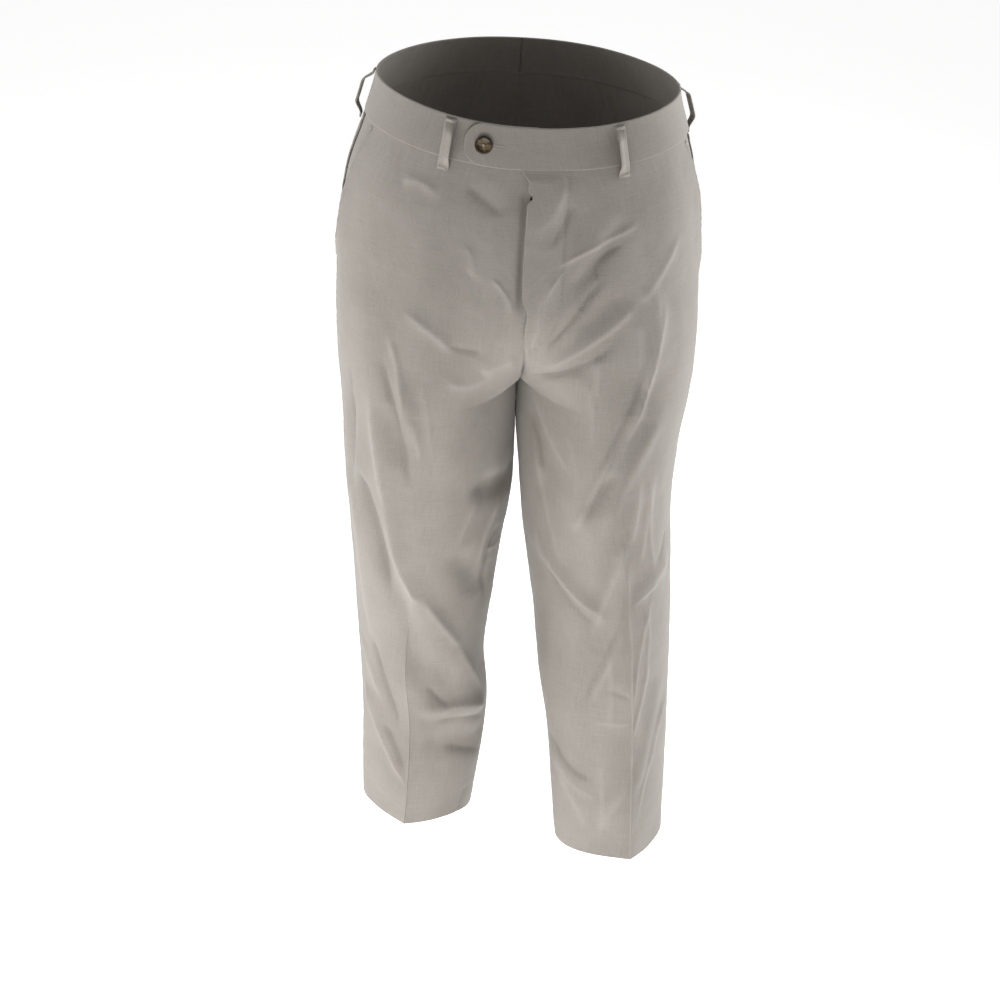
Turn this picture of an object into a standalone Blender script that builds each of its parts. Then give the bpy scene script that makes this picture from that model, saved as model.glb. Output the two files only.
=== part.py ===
"""Dress trousers in the hollow shape they keep when worn: flat front, pressed legs, waistband with a
rounded tab and button, belt loops, slanted side pockets and a zip fly.

The origin is the middle of the waist ring, level with the band's top edge at the sides. +Z is up and
-Y is the front, so +X is the wearer's left. Every size is in metres.

A point of the cloth is named by its girth g and its height t. The girth runs round one half of the
garment: 0 at the centre front and the inseam, 1 at the side seam, 2 at the centre back and the inseam.
The height is that of the same row at the side seam."""

from collections import namedtuple
import math

import bmesh
import bpy
from mathutils import Matrix, Vector
import numpy as np

# Cloth and seams
CLOTH = 0.0014
SEAM_GAP = 0.0003
HALF_SEAM_GIRTH = 0.0006
CENTRE_GAP = 0.0003

# Waist and fork, as heights
BAND_HEIGHT = 0.042
BAND_CLOTH = 0.0024
BAND_RISE = 0.0006
PANEL_TOP = -BAND_HEIGHT - SEAM_GAP
FRONT_DIP = -0.020
BACK_LIFT = 0.012
HIP_TILT = 0.05
LEVEL_TOP = -0.090
FORK_TOP = -0.200
FORK_SIDE = -0.335
CROTCH_Z = -0.330
HEM_SIDE = -0.975

# Rows of the body above the fork. front and back are depths from the centre of the waist ring, and
# sway is how far the row lies to the wearer's left.
BodyRow = namedtuple("BodyRow", "height half_width front back sway")
BODY = (
    BodyRow(0.010, 0.1555, 0.1070, 0.110, 0.007),
    BodyRow(0.000, 0.1570, 0.1080, 0.112, 0.006),
    BodyRow(-0.042, 0.1690, 0.1140, 0.122, 0.005),
    BodyRow(-0.100, 0.1870, 0.1205, 0.136, 0.002),
    BodyRow(-0.160, 0.1945, 0.1240, 0.143, 0.000),
    BodyRow(-0.220, 0.1990, 0.1250, 0.145, 0.000),
    BodyRow(-0.300, 0.2010, 0.1230, 0.139, 0.000),
    BodyRow(-0.340, 0.2010, 0.1210, 0.134, 0.000),
)
BODY_ROUNDNESS = 2.2

# Rows of a leg. outer and inner are distances from the middle plane, centre is the leg's Y, front and
# back are depths from it, crease is 0 for a round leg and 1 for a sharply pressed one, and turn is the
# outward twist in degrees.
LegRow = namedtuple("LegRow", "height outer inner centre front back crease turn")
LEGS = {
    "right": (
        LegRow(-0.200, 0.2015, 0.0010, 0.012, 0.126, 0.128, 0.00, 0),
        LegRow(-0.335, 0.2010, 0.0010, 0.012, 0.124, 0.118, 0.00, 0),
        LegRow(-0.400, 0.1985, 0.0012, 0.014, 0.117, 0.108, 0.04, 3),
        LegRow(-0.480, 0.1975, 0.0015, 0.017, 0.107, 0.098, 0.10, 8),
        LegRow(-0.560, 0.1935, 0.0125, 0.020, 0.099, 0.092, 0.20, 11),
        LegRow(-0.640, 0.1915, 0.0225, 0.022, 0.091, 0.087, 0.34, 13),
        LegRow(-0.720, 0.1900, 0.0310, 0.024, 0.084, 0.083, 0.50, 15),
        LegRow(-0.800, 0.1885, 0.0270, 0.026, 0.078, 0.079, 0.64, 15),
        LegRow(-0.880, 0.1895, 0.0330, 0.028, 0.073, 0.075, 0.78, 15),
        LegRow(-0.975, 0.1915, 0.0465, 0.030, 0.068, 0.072, 0.90, 15),
    ),
    "left": (
        LegRow(-0.200, 0.2015, 0.0010, 0.012, 0.126, 0.128, 0.00, 0),
        LegRow(-0.335, 0.2000, 0.0010, 0.010, 0.122, 0.118, 0.00, 0),
        LegRow(-0.400, 0.1900, 0.0015, 0.004, 0.117, 0.110, 0.04, 4),
        LegRow(-0.480, 0.1840, 0.0060, -0.004, 0.108, 0.102, 0.12, 9),
        LegRow(-0.560, 0.1890, 0.0135, -0.012, 0.099, 0.096, 0.26, 14),
        LegRow(-0.640, 0.1940, 0.0240, -0.018, 0.091, 0.090, 0.42, 17),
        LegRow(-0.720, 0.1980, 0.0300, -0.024, 0.084, 0.085, 0.56, 18),
        LegRow(-0.800, 0.1995, 0.0420, -0.029, 0.078, 0.080, 0.68, 18),
        LegRow(-0.880, 0.2010, 0.0490, -0.033, 0.073, 0.076, 0.80, 18),
        LegRow(-0.975, 0.2050, 0.0570, -0.036, 0.068, 0.072, 0.90, 18),
    ),
}
SIDE_SIGN = {"left": 1.0, "right": -1.0}

# Grids: columns across a panel and rows in each stretch down it, then points across and down the rest
PANEL_COLUMNS = 14
ROWS_TO_FORK = 8
ROWS_IN_FORK = 9
ROWS_DOWN_LEG = 27
FACING_GRID = (7, 15)
SHIELD_GRID = (6, 17)
TAPE_ROWS = 15
BAND_GRID = (29, 5)
TAB_COLUMNS = 13
LAP_COLUMNS = 3
LOOP_COLUMNS = 3

# Fly
LAP_OVERLAP = 0.006
UNDER_LAP = 0.002
FLY_END = -0.215
LAP_END = -0.262
LAP_EASE = 0.020
LAP_RISE_EASE = 0.130
LAP_RISE = 0.0046
LAP_RISE_LOW = 0.0032
LAP_FLAT = 0.022
LAP_FADE = 0.050
SHIELD_DEPTH = 0.0022
SHIELD_INNER = 0.012
SHIELD_OUTER = 0.034

# Zip
ZIP_X = 0.0100
ZIP_TAPE = (0.0026, 0.0200)
ZIP_TAPE_THICK = 0.0008
CHAIN_HALF = 0.0026
CHAIN_SLOPE = 0.0005
CHAIN_RISE = 0.0011
SLIDER_T = -0.054
CORNER_STEPS = 4
SLIDER_SIZE = (0.0076, 0.0110)
SLIDER_CORNER = 0.002
SLIDER_BACK = -0.0014
SLIDER_FRONT = 0.0010
SLIDER_CLEARANCE = 0.0009
TAPE_UNDER_LAP_END = 0.006
PULL_BACK = 0.0015
PULL_FRONT = 0.0024
PULL_LENGTH = 0.0240
PULL_WIDTH = 0.0046
PULL_CORNER = 0.0018
PULL_LEAN = 38.0
PULL_SWING_X = 0.002
PULL_SWING_T = -0.062

# Tab and button
TAB_REACH = 0.068
TAB_RISE = 0.0029
TAB_RAMP = (0.010, 0.045)
TAB_ROUND = 0.018
TAB_NOSE = 0.14
BAND_START_GIRTH = 0.10
BUTTON_X = 0.051
BUTTON_DIAMETER = 0.018
BUTTON_THICK = 0.0032
BUTTON_HOLE = 0.0018
BUTTON_HOLE_SPACING = 0.0026
BUTTON_STEPS = 28
# From the middle of the button's face round its rim to the middle of its back: shares of its radius
# and of half its thickness
ProfilePoint = namedtuple("ProfilePoint", "radius height")
BUTTON_PROFILE = (
    ProfilePoint(0.00, 0.50),
    ProfilePoint(0.62, 0.50),
    ProfilePoint(0.74, 1.00),
    ProfilePoint(0.90, 1.00),
    ProfilePoint(1.00, 0.35),
    ProfilePoint(0.96, -0.50),
    ProfilePoint(0.80, -1.00),
    ProfilePoint(0.00, -1.00),
)

# Belt loops
LOOP_WIDTH = 0.0110
LOOP_CLOTH = 0.0018
LOOP_TOP = -0.003
LOOP_BOTTOM = -0.054
LOOP_STAND_NEAR = 0.0122
LOOP_STAND_FAR = 0.0106
# Down half a loop from its end to its middle: shares of the whole length and of the stand-off
LoopStep = namedtuple("LoopStep", "down stand")
LOOP_STEPS = (
    LoopStep(0.00, 0.00),
    LoopStep(0.06, 0.00),
    LoopStep(0.12, 0.55),
    LoopStep(0.18, 0.92),
    LoopStep(0.30, 1.00),
    LoopStep(0.50, 1.00),
)
LoopPlace = namedtuple("LoopPlace", "name side girth")
LOOPS = (
    LoopPlace("belt_loop_front_left", "left", 0.33),
    LoopPlace("belt_loop_side_left", "left", 1.06),
    LoopPlace("belt_loop_back_left", "left", 1.58),
    LoopPlace("belt_loop_back_centre", "left", 2.00),
    LoopPlace("belt_loop_back_right", "right", 1.58),
    LoopPlace("belt_loop_side_right", "right", 1.06),
    LoopPlace("belt_loop_front_right", "right", 0.33),
)

# Slanted pockets
POCKET_TOP_GIRTH = 0.80
POCKET_END = -0.200
POCKET_BOW = 0.85
POCKET_GAPE = 0.0035
POCKET_GAPE_GIRTH = 0.12
POCKET_GAPE_SKEW = 0.6
FACING_DEPTH = 0.0025
FACING_END = 0.010
FACING_UNDERLAP = 0.07

# Colours
CLOTH_COLOUR = (0.56, 0.51, 0.45)
HORN_COLOUR = (0.10, 0.06, 0.03)
METAL_COLOUR = (0.30, 0.26, 0.20)
TAPE_COLOUR = (0.48, 0.43, 0.37)

# Large folds of the front and back panels: a ridge has a positive depth and a trough a negative one.
FOLD_FADE = 0.25
Fold = namedtuple("Fold", "side g_start t_start g_end t_end width depth")
FOLDS = (
    Fold("right", 0.83, -0.330, 0.86, -0.500, 0.011, -0.004),
    Fold("right", 0.72, -0.320, 0.56, -0.600, 0.015, 0.005),
    Fold("right", 0.60, -0.540, 0.07, -0.775, 0.017, 0.005),
    Fold("right", 0.80, -0.440, 0.60, -0.600, 0.018, -0.005),
    Fold("right", 0.64, -0.560, 0.30, -0.760, 0.020, -0.005),
    Fold("right", 0.62, -0.290, 0.55, -0.390, 0.011, 0.003),
    Fold("right", 0.66, -0.330, 0.59, -0.420, 0.011, -0.003),
    Fold("right", 0.32, -0.445, 0.02, -0.468, 0.016, -0.006),
    Fold("right", 0.34, -0.530, 0.12, -0.620, 0.016, -0.004),
    Fold("right", 0.44, -0.775, 0.00, -0.800, 0.014, 0.006),
    Fold("right", 0.38, -0.830, 0.00, -0.860, 0.022, -0.006),
    Fold("right", 0.86, -0.770, 0.58, -0.910, 0.011, 0.004),
    Fold("right", 1.96, -0.300, 1.50, -0.345, 0.015, -0.005),
    Fold("right", 1.94, -0.385, 1.48, -0.440, 0.015, -0.004),
    Fold("right", 1.90, -0.600, 1.42, -0.650, 0.015, -0.005),
    Fold("right", 1.80, -0.665, 1.30, -0.690, 0.014, 0.004),
    Fold("right", 1.20, -0.420, 1.34, -0.600, 0.016, 0.004),
    Fold("right", 1.70, -0.800, 1.30, -0.870, 0.014, -0.004),
    Fold("left", 0.62, -0.330, 0.33, -0.480, 0.012, -0.005),
    Fold("left", 0.70, -0.325, 0.40, -0.490, 0.012, 0.004),
    Fold("left", 0.56, -0.490, 0.24, -0.740, 0.012, 0.004),
    Fold("left", 0.48, -0.500, 0.18, -0.720, 0.014, -0.003),
    Fold("left", 0.06, -0.515, 0.38, -0.615, 0.012, 0.004),
    Fold("left", 0.54, -0.575, 0.80, -0.540, 0.012, 0.003),
    Fold("left", 0.76, -0.690, 0.58, -0.880, 0.012, 0.003),
    Fold("left", 0.34, -0.200, 0.30, -0.090, 0.011, -0.003),
    Fold("left", 0.18, -0.262, 0.56, -0.185, 0.013, -0.004),
    Fold("left", 0.10, -0.284, 0.44, -0.275, 0.010, -0.003),
    Fold("left", 0.62, -0.180, 0.65, -0.300, 0.011, 0.003),
    Fold("left", 1.96, -0.295, 1.46, -0.350, 0.015, -0.005),
    Fold("left", 1.92, -0.395, 1.52, -0.425, 0.015, -0.004),
    Fold("left", 1.88, -0.590, 1.36, -0.655, 0.016, -0.005),
    Fold("left", 1.74, -0.655, 1.34, -0.710, 0.014, 0.004),
    Fold("left", 1.16, -0.440, 1.30, -0.640, 0.016, 0.004),
    Fold("left", 1.66, -0.790, 1.24, -0.850, 0.014, -0.004),
)


def along(rows, column, height):
    """A column of a table read at any heights, on a smooth curve through its rows."""
    heights = np.array([-row.height for row in rows])
    values = np.array([getattr(row, column) for row in rows])
    slopes = np.gradient(values, heights)
    at = np.clip(-np.asarray(height, float), heights[0], heights[-1])
    low = np.clip(np.searchsorted(heights, at) - 1, 0, len(rows) - 2)
    step = heights[low + 1] - heights[low]
    s = (at - heights[low]) / step
    rise = values[low + 1] - values[low]
    start = slopes[low] * step
    end = slopes[low + 1] * step
    return values[low] + s * (start + s * (3 * rise - 2 * start - end + s * (start + end - 2 * rise)))


def smooth(x):
    x = np.clip(x, 0.0, 1.0)
    return x * x * (3 - 2 * x)


def signed_power(x, power):
    return np.sign(x) * np.abs(x) ** power


def body_angle(g, t):
    """The angle round the body's oval, from the front. Even steps of girth are even steps of angle at
    the waist, and lower down they keep to the X of the leg's ring below."""
    even = np.pi / 2 * g
    share = (1 - np.cos(np.pi * np.clip(np.abs(g), 0, 2))) / 2
    quarter = np.arcsin(share ** (BODY_ROUNDNESS / 2))
    over_leg = np.sign(g) * np.where(np.abs(g) < 1, quarter, np.pi - quarter)
    return even + (over_leg - even) * smooth((LEVEL_TOP - t) / (LEVEL_TOP - FORK_TOP))


def body_point(g, t):
    """The upper body's outline, as a rounded oval."""
    around = body_angle(g, t)
    power = 2 / BODY_ROUNDNESS
    depth = np.where(np.cos(around) > 0, along(BODY, "front", t), along(BODY, "back", t))
    x = along(BODY, "half_width", t) * signed_power(np.sin(around), power)
    y = -depth * signed_power(np.cos(around), power)
    return x, y


def leg_point(side, g, t):
    """A leg's ring, from an ellipse to a lens that is pointed where the creases are pressed."""
    rows = LEGS[side]
    around = np.radians(180 * g)
    outer = along(rows, "outer", t)
    inner = along(rows, "inner", t)
    depth = np.where(np.sin(around) > 0, along(rows, "front", t), along(rows, "back", t))
    across = -(outer - inner) / 2 * signed_power(np.cos(around), 1 + along(rows, "crease", t))
    forward = -depth * np.sin(around)
    turn = np.radians(along(rows, "turn", t))
    x = (outer + inner) / 2 + across * np.cos(turn) - forward * np.sin(turn)
    y = along(rows, "centre", t) + across * np.sin(turn) + forward * np.cos(turn)
    return x, y


def fork_angle(t):
    """How far round the fork curve this row is: 0 at its top, a right angle at the crotch."""
    return np.pi / 2 * np.clip((FORK_TOP - t) / (FORK_TOP - FORK_SIDE), 0, 1)


def leg_share(t):
    return 1 - np.cos(fork_angle(t))


def cloth_point(side, g, t):
    """A point of the cloth's plain outer face, before folds. The fork curve joins body and legs."""
    g, t = np.broadcast_arrays(np.asarray(g, float), np.asarray(t, float))
    down_leg = np.clip((FORK_SIDE - t) / (FORK_SIDE - HEM_SIDE), 0, None)
    centre_t = np.where(
        t > FORK_SIDE,
        np.maximum(t, FORK_TOP) - (FORK_TOP - CROTCH_Z) * np.sin(fork_angle(t)),
        CROTCH_Z + (HEM_SIDE - CROTCH_Z) * down_leg,
    )
    body_x, body_y = body_point(g, t)
    leg_x, leg_y = leg_point(side, g, t)
    x = SIDE_SIGN[side] * (body_x + (leg_x - body_x) * leg_share(t)) + along(BODY, "sway", t)
    y = body_y + (leg_y - body_y) * leg_share(t)
    outward = np.where(np.cos(np.pi * g) < 0, 1.0, np.sin(np.pi * g) ** 2)
    z = centre_t + (t - centre_t) * outward
    toward_middle = np.cos(np.pi / 2 * g)
    dip = np.where(toward_middle > 0, FRONT_DIP, BACK_LIFT) * toward_middle**2
    z = z + dip * smooth((t - FORK_TOP) / (PANEL_TOP - FORK_TOP)) - HIP_TILT * x
    return np.stack([x, y, z], axis=-1)


def outward_normal(side, g, t):
    step_g, step_t = 0.02, 0.004
    across = cloth_point(side, g + step_g, t) - cloth_point(side, g - step_g, t)
    upward = cloth_point(side, g, t + step_t) - cloth_point(side, g, t - step_t)
    normal = SIDE_SIGN[side] * np.cross(across, upward)
    return normal / np.linalg.norm(normal, axis=-1, keepdims=True)


def lifted(side, g, t, rise):
    """Points at a height over the plain outer face."""
    return cloth_point(side, g, t) + outward_normal(side, g, t) * np.asarray(rise)[..., None]


def girth_at(x, t):
    """The girth of a point of the body's front at this distance from the middle plane."""
    x, t = np.broadcast_arrays(np.asarray(x, float), np.asarray(t, float))
    steps = np.linspace(-0.95, 0.95, 1901)
    found = [np.interp(at, body_point(steps, height)[0], steps) for at, height in zip(x.flat, t.flat)]
    return np.array(found).reshape(x.shape)


def fold_rise(side, g, t):
    """What the large folds add, each a soft ridge or trough that fades out at its ends."""
    rise = np.zeros(np.broadcast(g, t).shape)
    for fold in FOLDS:
        if fold.side != side:
            continue
        middle = (fold.t_start + fold.t_end) / 2
        reach = half_girth(side, middle)
        run = np.array([(fold.g_end - fold.g_start) * reach, fold.t_end - fold.t_start])
        offset = np.stack(np.broadcast_arrays((g - fold.g_start) * reach, t - fold.t_start), -1)
        share = np.clip(offset @ run / (run @ run), 0, 1)
        gap = np.linalg.norm(offset - share[..., None] * run, axis=-1)
        fade = smooth(share / FOLD_FADE) * smooth((1 - share) / FOLD_FADE)
        rise = rise + fold.depth * fade * np.exp(-((gap / fold.width) ** 2))
    return rise


def half_girth(side, t):
    """Cloth from the centre edge to the side seam, for one unit of girth."""
    steps = np.linspace(0, 1, 25)
    return np.linalg.norm(np.diff(cloth_point(side, steps, t), axis=0), axis=1).sum()


def panel_rows():
    down = np.linspace(PANEL_TOP, FORK_TOP, ROWS_TO_FORK + 1)[:-1]
    fork = np.linspace(FORK_TOP, FORK_SIDE, ROWS_IN_FORK + 1)[:-1]
    leg = np.linspace(FORK_SIDE, HEM_SIDE, ROWS_DOWN_LEG + 1)
    return np.concatenate([down, fork, leg])


def lap_overlap(t):
    """1 where the fly laps over, 0 below its end."""
    return smooth((t - FLY_END) / LAP_EASE)


def centre_edge(t):
    """The girth of a panel's plain centre edge, just clear of the middle plane, and of the inseam."""
    clear = CENTRE_GAP * np.clip(1 - 3 * leg_share(t), 0, 1)
    return np.maximum(girth_at(clear, t), HALF_SEAM_GIRTH)


def front_edge(side, t):
    """The girth of a front panel's centre edge: the left laps over the right."""
    reach = {"left": LAP_OVERLAP, "right": UNDER_LAP}[side]
    plain = centre_edge(t)
    return plain + (girth_at(-reach, t) - plain) * lap_overlap(t)


def lap_rise(g, t):
    """How far the left front stands off over the zip."""
    along_edge = LAP_RISE_LOW + (LAP_RISE - LAP_RISE_LOW) * smooth((t - FLY_END) / LAP_RISE_EASE)
    fade_down = smooth((t - LAP_END) / (FLY_END - LAP_END))
    x = body_point(g, t)[0] + LAP_OVERLAP
    return along_edge * fade_down * smooth((LAP_FADE - x) / (LAP_FADE - LAP_FLAT))


def pocket_edge(t):
    """The girth of a front panel's side edge: the slanted mouth, then the side seam."""
    share = np.clip((t - POCKET_END) / (PANEL_TOP - POCKET_END), 0, 1)
    return 1 - HALF_SEAM_GIRTH - (1 - POCKET_TOP_GIRTH) * share**POCKET_BOW


def pocket_gape(g, t):
    """The mouth of the pocket stands a little open."""
    share = np.clip((t - POCKET_END) / (PANEL_TOP - POCKET_END), 0, 1)
    from_edge = (pocket_edge(t) - g) / POCKET_GAPE_GIRTH
    return POCKET_GAPE * np.sin(np.pi * share**POCKET_GAPE_SKEW) * smooth(1 - from_edge)


def shell_object(name, outer, inner, colour, turned=False, roughness=0.8):
    """A wall between two grids of points, closed round its rim. It is turned where the grid's columns
    run clockwise seen from outside."""
    rows, columns = outer.shape[:2]
    bm = bmesh.new()
    layers = []
    for points in (outer, inner):
        layers.append([[bm.verts.new(tuple(point)) for point in row] for row in points])
    front, back = layers

    def face(*corners):
        bm.faces.new(corners[::-1] if turned else corners)

    for i in range(rows - 1):
        for j in range(columns - 1):
            face(front[i][j], front[i + 1][j], front[i + 1][j + 1], front[i][j + 1])
            face(back[i][j], back[i][j + 1], back[i + 1][j + 1], back[i + 1][j])
    for i in range(rows - 1):
        face(front[i][0], back[i][0], back[i + 1][0], front[i + 1][0])
        face(front[i][-1], front[i + 1][-1], back[i + 1][-1], back[i][-1])
    for j in range(columns - 1):
        face(front[0][j], front[0][j + 1], back[0][j + 1], back[0][j])
        face(front[-1][j], back[-1][j], back[-1][j + 1], front[-1][j + 1])
    return finish(name, bm, colour, roughness)


def finish(name, bm, colour, roughness=0.8, metallic=0.0):
    mesh = bpy.data.meshes.new(name)
    bm.to_mesh(mesh)
    bm.free()
    obj = bpy.data.objects.new(name, mesh)
    obj.data.materials.append(material(name, colour, roughness, metallic))
    trousers.objects.link(obj)
    return obj


def material(name, colour, roughness, metallic):
    made = bpy.data.materials.new(name)
    made.use_nodes = True
    shader = made.node_tree.nodes["Principled BSDF"]
    shader.inputs["Base Color"].default_value = (*colour, 1.0)
    shader.inputs["Roughness"].default_value = roughness
    shader.inputs["Metallic"].default_value = metallic
    return made


def build_front(side):
    t = panel_rows()[:, None]
    share = np.linspace(0, 1, PANEL_COLUMNS + 1)[None, :]
    g = front_edge(side, t) + (pocket_edge(t) - front_edge(side, t)) * share
    t = np.broadcast_to(t, g.shape)
    rise = fold_rise(side, g, t) + pocket_gape(g, t)
    if side == "left":
        rise = rise + lap_rise(g, t)
    return shell_object(
        "front_" + side,
        lifted(side, g, t, rise),
        lifted(side, g, t, rise - CLOTH),
        CLOTH_COLOUR,
        turned=side == "right",
    )


def build_back(side):
    t = panel_rows()[:, None]
    share = np.linspace(0, 1, PANEL_COLUMNS + 1)[None, :]
    side_edge = 1 + HALF_SEAM_GIRTH
    g = side_edge + (2 - centre_edge(t) - side_edge) * share
    t = np.broadcast_to(t, g.shape)
    rise = fold_rise(side, g, t)
    return shell_object(
        "back_" + side,
        lifted(side, g, t, rise),
        lifted(side, g, t, rise - CLOTH),
        CLOTH_COLOUR,
        turned=side == "right",
    )


def build_pocket_facing(side):
    """The facing behind the slanted mouth: it runs from under the front panel to the side seam."""
    columns, rows = FACING_GRID
    t = np.linspace(PANEL_TOP, POCKET_END + FACING_END, rows)[:, None]
    share = np.linspace(0, 1, columns)[None, :]
    start = pocket_edge(t) - FACING_UNDERLAP
    end = 1 - HALF_SEAM_GIRTH
    g = start + (end - start) * share
    t = np.broadcast_to(t, g.shape)
    return shell_object(
        "pocket_facing_" + side,
        lifted(side, g, t, np.full(g.shape, -FACING_DEPTH)),
        lifted(side, g, t, np.full(g.shape, -FACING_DEPTH - CLOTH)),
        CLOTH_COLOUR,
        turned=side == "right",
    )


def build_fly_shield():
    """The underlap behind the zip, sewn to the right front."""
    columns, rows = SHIELD_GRID
    t = np.linspace(PANEL_TOP, FLY_END, rows)[:, None]
    x = np.linspace(-SHIELD_OUTER, SHIELD_INNER, columns)[None, :]
    g = girth_at(x, t)
    t = np.broadcast_to(t, g.shape)
    return shell_object(
        "fly_shield",
        lifted("right", g, t, np.full(g.shape, -SHIELD_DEPTH)),
        lifted("right", g, t, np.full(g.shape, -SHIELD_DEPTH - CLOTH)),
        CLOTH_COLOUR,
        turned=True,
    )


def build_zip_tape():
    """Both tapes and the closed chain of teeth, below the slider."""
    start = SLIDER_T - SLIDER_SIZE[1] / 2 - SLIDER_CLEARANCE
    t = np.linspace(start, FLY_END + TAPE_UNDER_LAP_END, TAPE_ROWS)[:, None]
    tape_start, tape_end = ZIP_TAPE
    chain = (0, 0, CHAIN_RISE, CHAIN_RISE, 0, 0)
    edges = (
        tape_start,
        ZIP_X - CHAIN_HALF,
        ZIP_X - CHAIN_HALF + CHAIN_SLOPE,
        ZIP_X + CHAIN_HALF - CHAIN_SLOPE,
        ZIP_X + CHAIN_HALF,
        tape_end,
    )
    g = girth_at(np.array(edges)[None, :], t)
    t = np.broadcast_to(t, g.shape)
    back = np.full(g.shape, SLIDER_BACK)
    front = back + ZIP_TAPE_THICK + np.array(chain)[None, :]
    return shell_object(
        "zip_tape", lifted("left", g, t, front), lifted("left", g, t, back), TAPE_COLOUR
    )


def build_waistband(side):
    """Half of the band. The left one ends in the rounded tab, which lies over the right one."""
    tab = side == "left"
    columns, rows = BAND_GRID
    reach, lap_columns = (TAB_REACH, TAB_COLUMNS) if tab else (UNDER_LAP, LAP_COLUMNS)
    lap = np.linspace(girth_at(-reach, 0.0), BAND_START_GIRTH, lap_columns)[:-1]
    g = np.concatenate([lap, np.linspace(BAND_START_GIRTH, 2 - HALF_SEAM_GIRTH, columns)])[None, :]
    share = np.linspace(1, 0, rows)[:, None]
    x = np.sin(np.pi / 2 * np.minimum(g, 1)) * BODY[1].half_width
    nose = np.clip((x + TAB_REACH) / TAB_ROUND, 0.0, 1) if tab else np.ones(g.shape)
    round_end = np.sqrt(np.clip(1 - (1 - nose) ** 2, TAB_NOSE**2, 1))
    t = -BAND_HEIGHT / 2 + BAND_HEIGHT * (share - 0.5) * round_end
    g = np.broadcast_to(g, t.shape)
    lift_start, lift_end = TAB_RAMP
    lift = TAB_RISE * smooth((lift_end - x) / (lift_end - lift_start)) if tab else 0.0
    rise = np.broadcast_to(lift + BAND_RISE, t.shape)
    return shell_object(
        "waistband_" + side,
        lifted(side, g, t, rise),
        lifted(side, g, t, rise - BAND_CLOTH),
        CLOTH_COLOUR,
        turned=side == "right",
    )


def build_belt_loop(place):
    """A strip that is sewn flat at its ends and stands off the band between them."""
    steps = [step.down for step in LOOP_STEPS] + [1 - step.down for step in LOOP_STEPS[-2::-1]]
    stands = [step.stand for step in LOOP_STEPS + LOOP_STEPS[-2::-1]]
    t = (LOOP_TOP + (LOOP_BOTTOM - LOOP_TOP) * np.array(steps))[:, None]
    half = LOOP_WIDTH / 2 / half_girth(place.side, 0.0)
    g = place.girth + np.linspace(-half, half, LOOP_COLUMNS)[None, :]
    stand = np.linspace(LOOP_STAND_NEAR, LOOP_STAND_FAR, LOOP_COLUMNS)[None, :]
    base = BAND_RISE + SEAM_GAP + LOOP_CLOTH
    rise = base + (stand - base) * np.array(stands)[:, None]
    g, t = np.broadcast_arrays(g, t)
    return shell_object(
        place.name,
        lifted(place.side, g, t, rise),
        lifted(place.side, g, t, rise - LOOP_CLOTH),
        CLOTH_COLOUR,
        turned=place.side == "right",
    )


def cloth_frame(side, g, t, rise):
    """A frame on the cloth: X across to the wearer's left, Y up along it, Z out of it."""
    out = Vector(outward_normal(side, np.array(g), np.array(t)))
    up = Vector((0, 0, 1))
    across = up.cross(out).normalized()
    up = out.cross(across)
    frame = Matrix((across, up, out)).transposed().to_4x4()
    frame.translation = Vector(lifted(side, np.array(g), np.array(t), np.array(rise)))
    return frame


def build_button():
    """A four-hole button on the tab, turned and then drilled."""
    radius = BUTTON_DIAMETER / 2
    half = BUTTON_THICK / 2
    bm = bmesh.new()
    points = [bm.verts.new((radius * at.radius, 0, half * at.height)) for at in BUTTON_PROFILE]
    for first, second in zip(points, points[1:]):
        bm.edges.new((first, second))
    button = finish("waist_button", bm, HORN_COLOUR, roughness=0.35)
    screw = button.modifiers.new("turn", "SCREW")
    screw.steps = screw.render_steps = BUTTON_STEPS
    screw.use_merge_vertices = True
    screw.merge_threshold = 0.00005
    for column in (-1, 1):
        for row in (-1, 1):
            drill(button, column * BUTTON_HOLE_SPACING / 2, row * BUTTON_HOLE_SPACING / 2)
    stand = BAND_RISE + TAB_RISE + SEAM_GAP + half
    g = float(girth_at(np.array(-BUTTON_X), -BAND_HEIGHT / 2))
    button.matrix_world = cloth_frame("left", g, -BAND_HEIGHT / 2, stand)
    return button


def drill(button, x, y):
    bm = bmesh.new()
    bmesh.ops.create_cone(
        bm,
        cap_ends=True,
        segments=8,
        radius1=BUTTON_HOLE / 2,
        radius2=BUTTON_HOLE / 2,
        depth=BUTTON_THICK * 3,
        matrix=Matrix.Translation((x, y, 0)),
    )
    mesh = bpy.data.meshes.new("button_drill")
    bm.to_mesh(mesh)
    bm.free()
    cutter = bpy.data.objects.new("button_drill", mesh)
    cutter.hide_render = True
    cutter.display_type = "WIRE"
    cutter.parent = button
    cutters.objects.link(cutter)
    cut = button.modifiers.new("hole", "BOOLEAN")
    cut.operation = "DIFFERENCE"
    cut.object = cutter


def rounded_plate(width, length, corner, back, front):
    """A plate in the XY plane with round corners, whose upper corners are centred on the X axis."""
    bm = bmesh.new()
    outline = []
    middle_y = 2 * corner - length
    for centre_x, centre_y, first in (
        (width / 2 - corner, 0.0, 0),
        (corner - width / 2, 0.0, 90),
        (corner - width / 2, middle_y, 180),
        (width / 2 - corner, middle_y, 270),
    ):
        for step in range(CORNER_STEPS + 1):
            angle = math.radians(first + 90 / CORNER_STEPS * step)
            outline.append((centre_x + corner * math.cos(angle), centre_y + corner * math.sin(angle)))
    lower = [bm.verts.new((x, y, back)) for x, y in outline]
    upper = [bm.verts.new((x, y, front)) for x, y in outline]
    bm.faces.new(upper)
    bm.faces.new(lower[::-1])
    for i, corner_vert in enumerate(lower):
        after = (i + 1) % len(lower)
        bm.faces.new((corner_vert, lower[after], upper[after], upper[i]))
    return bm


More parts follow.
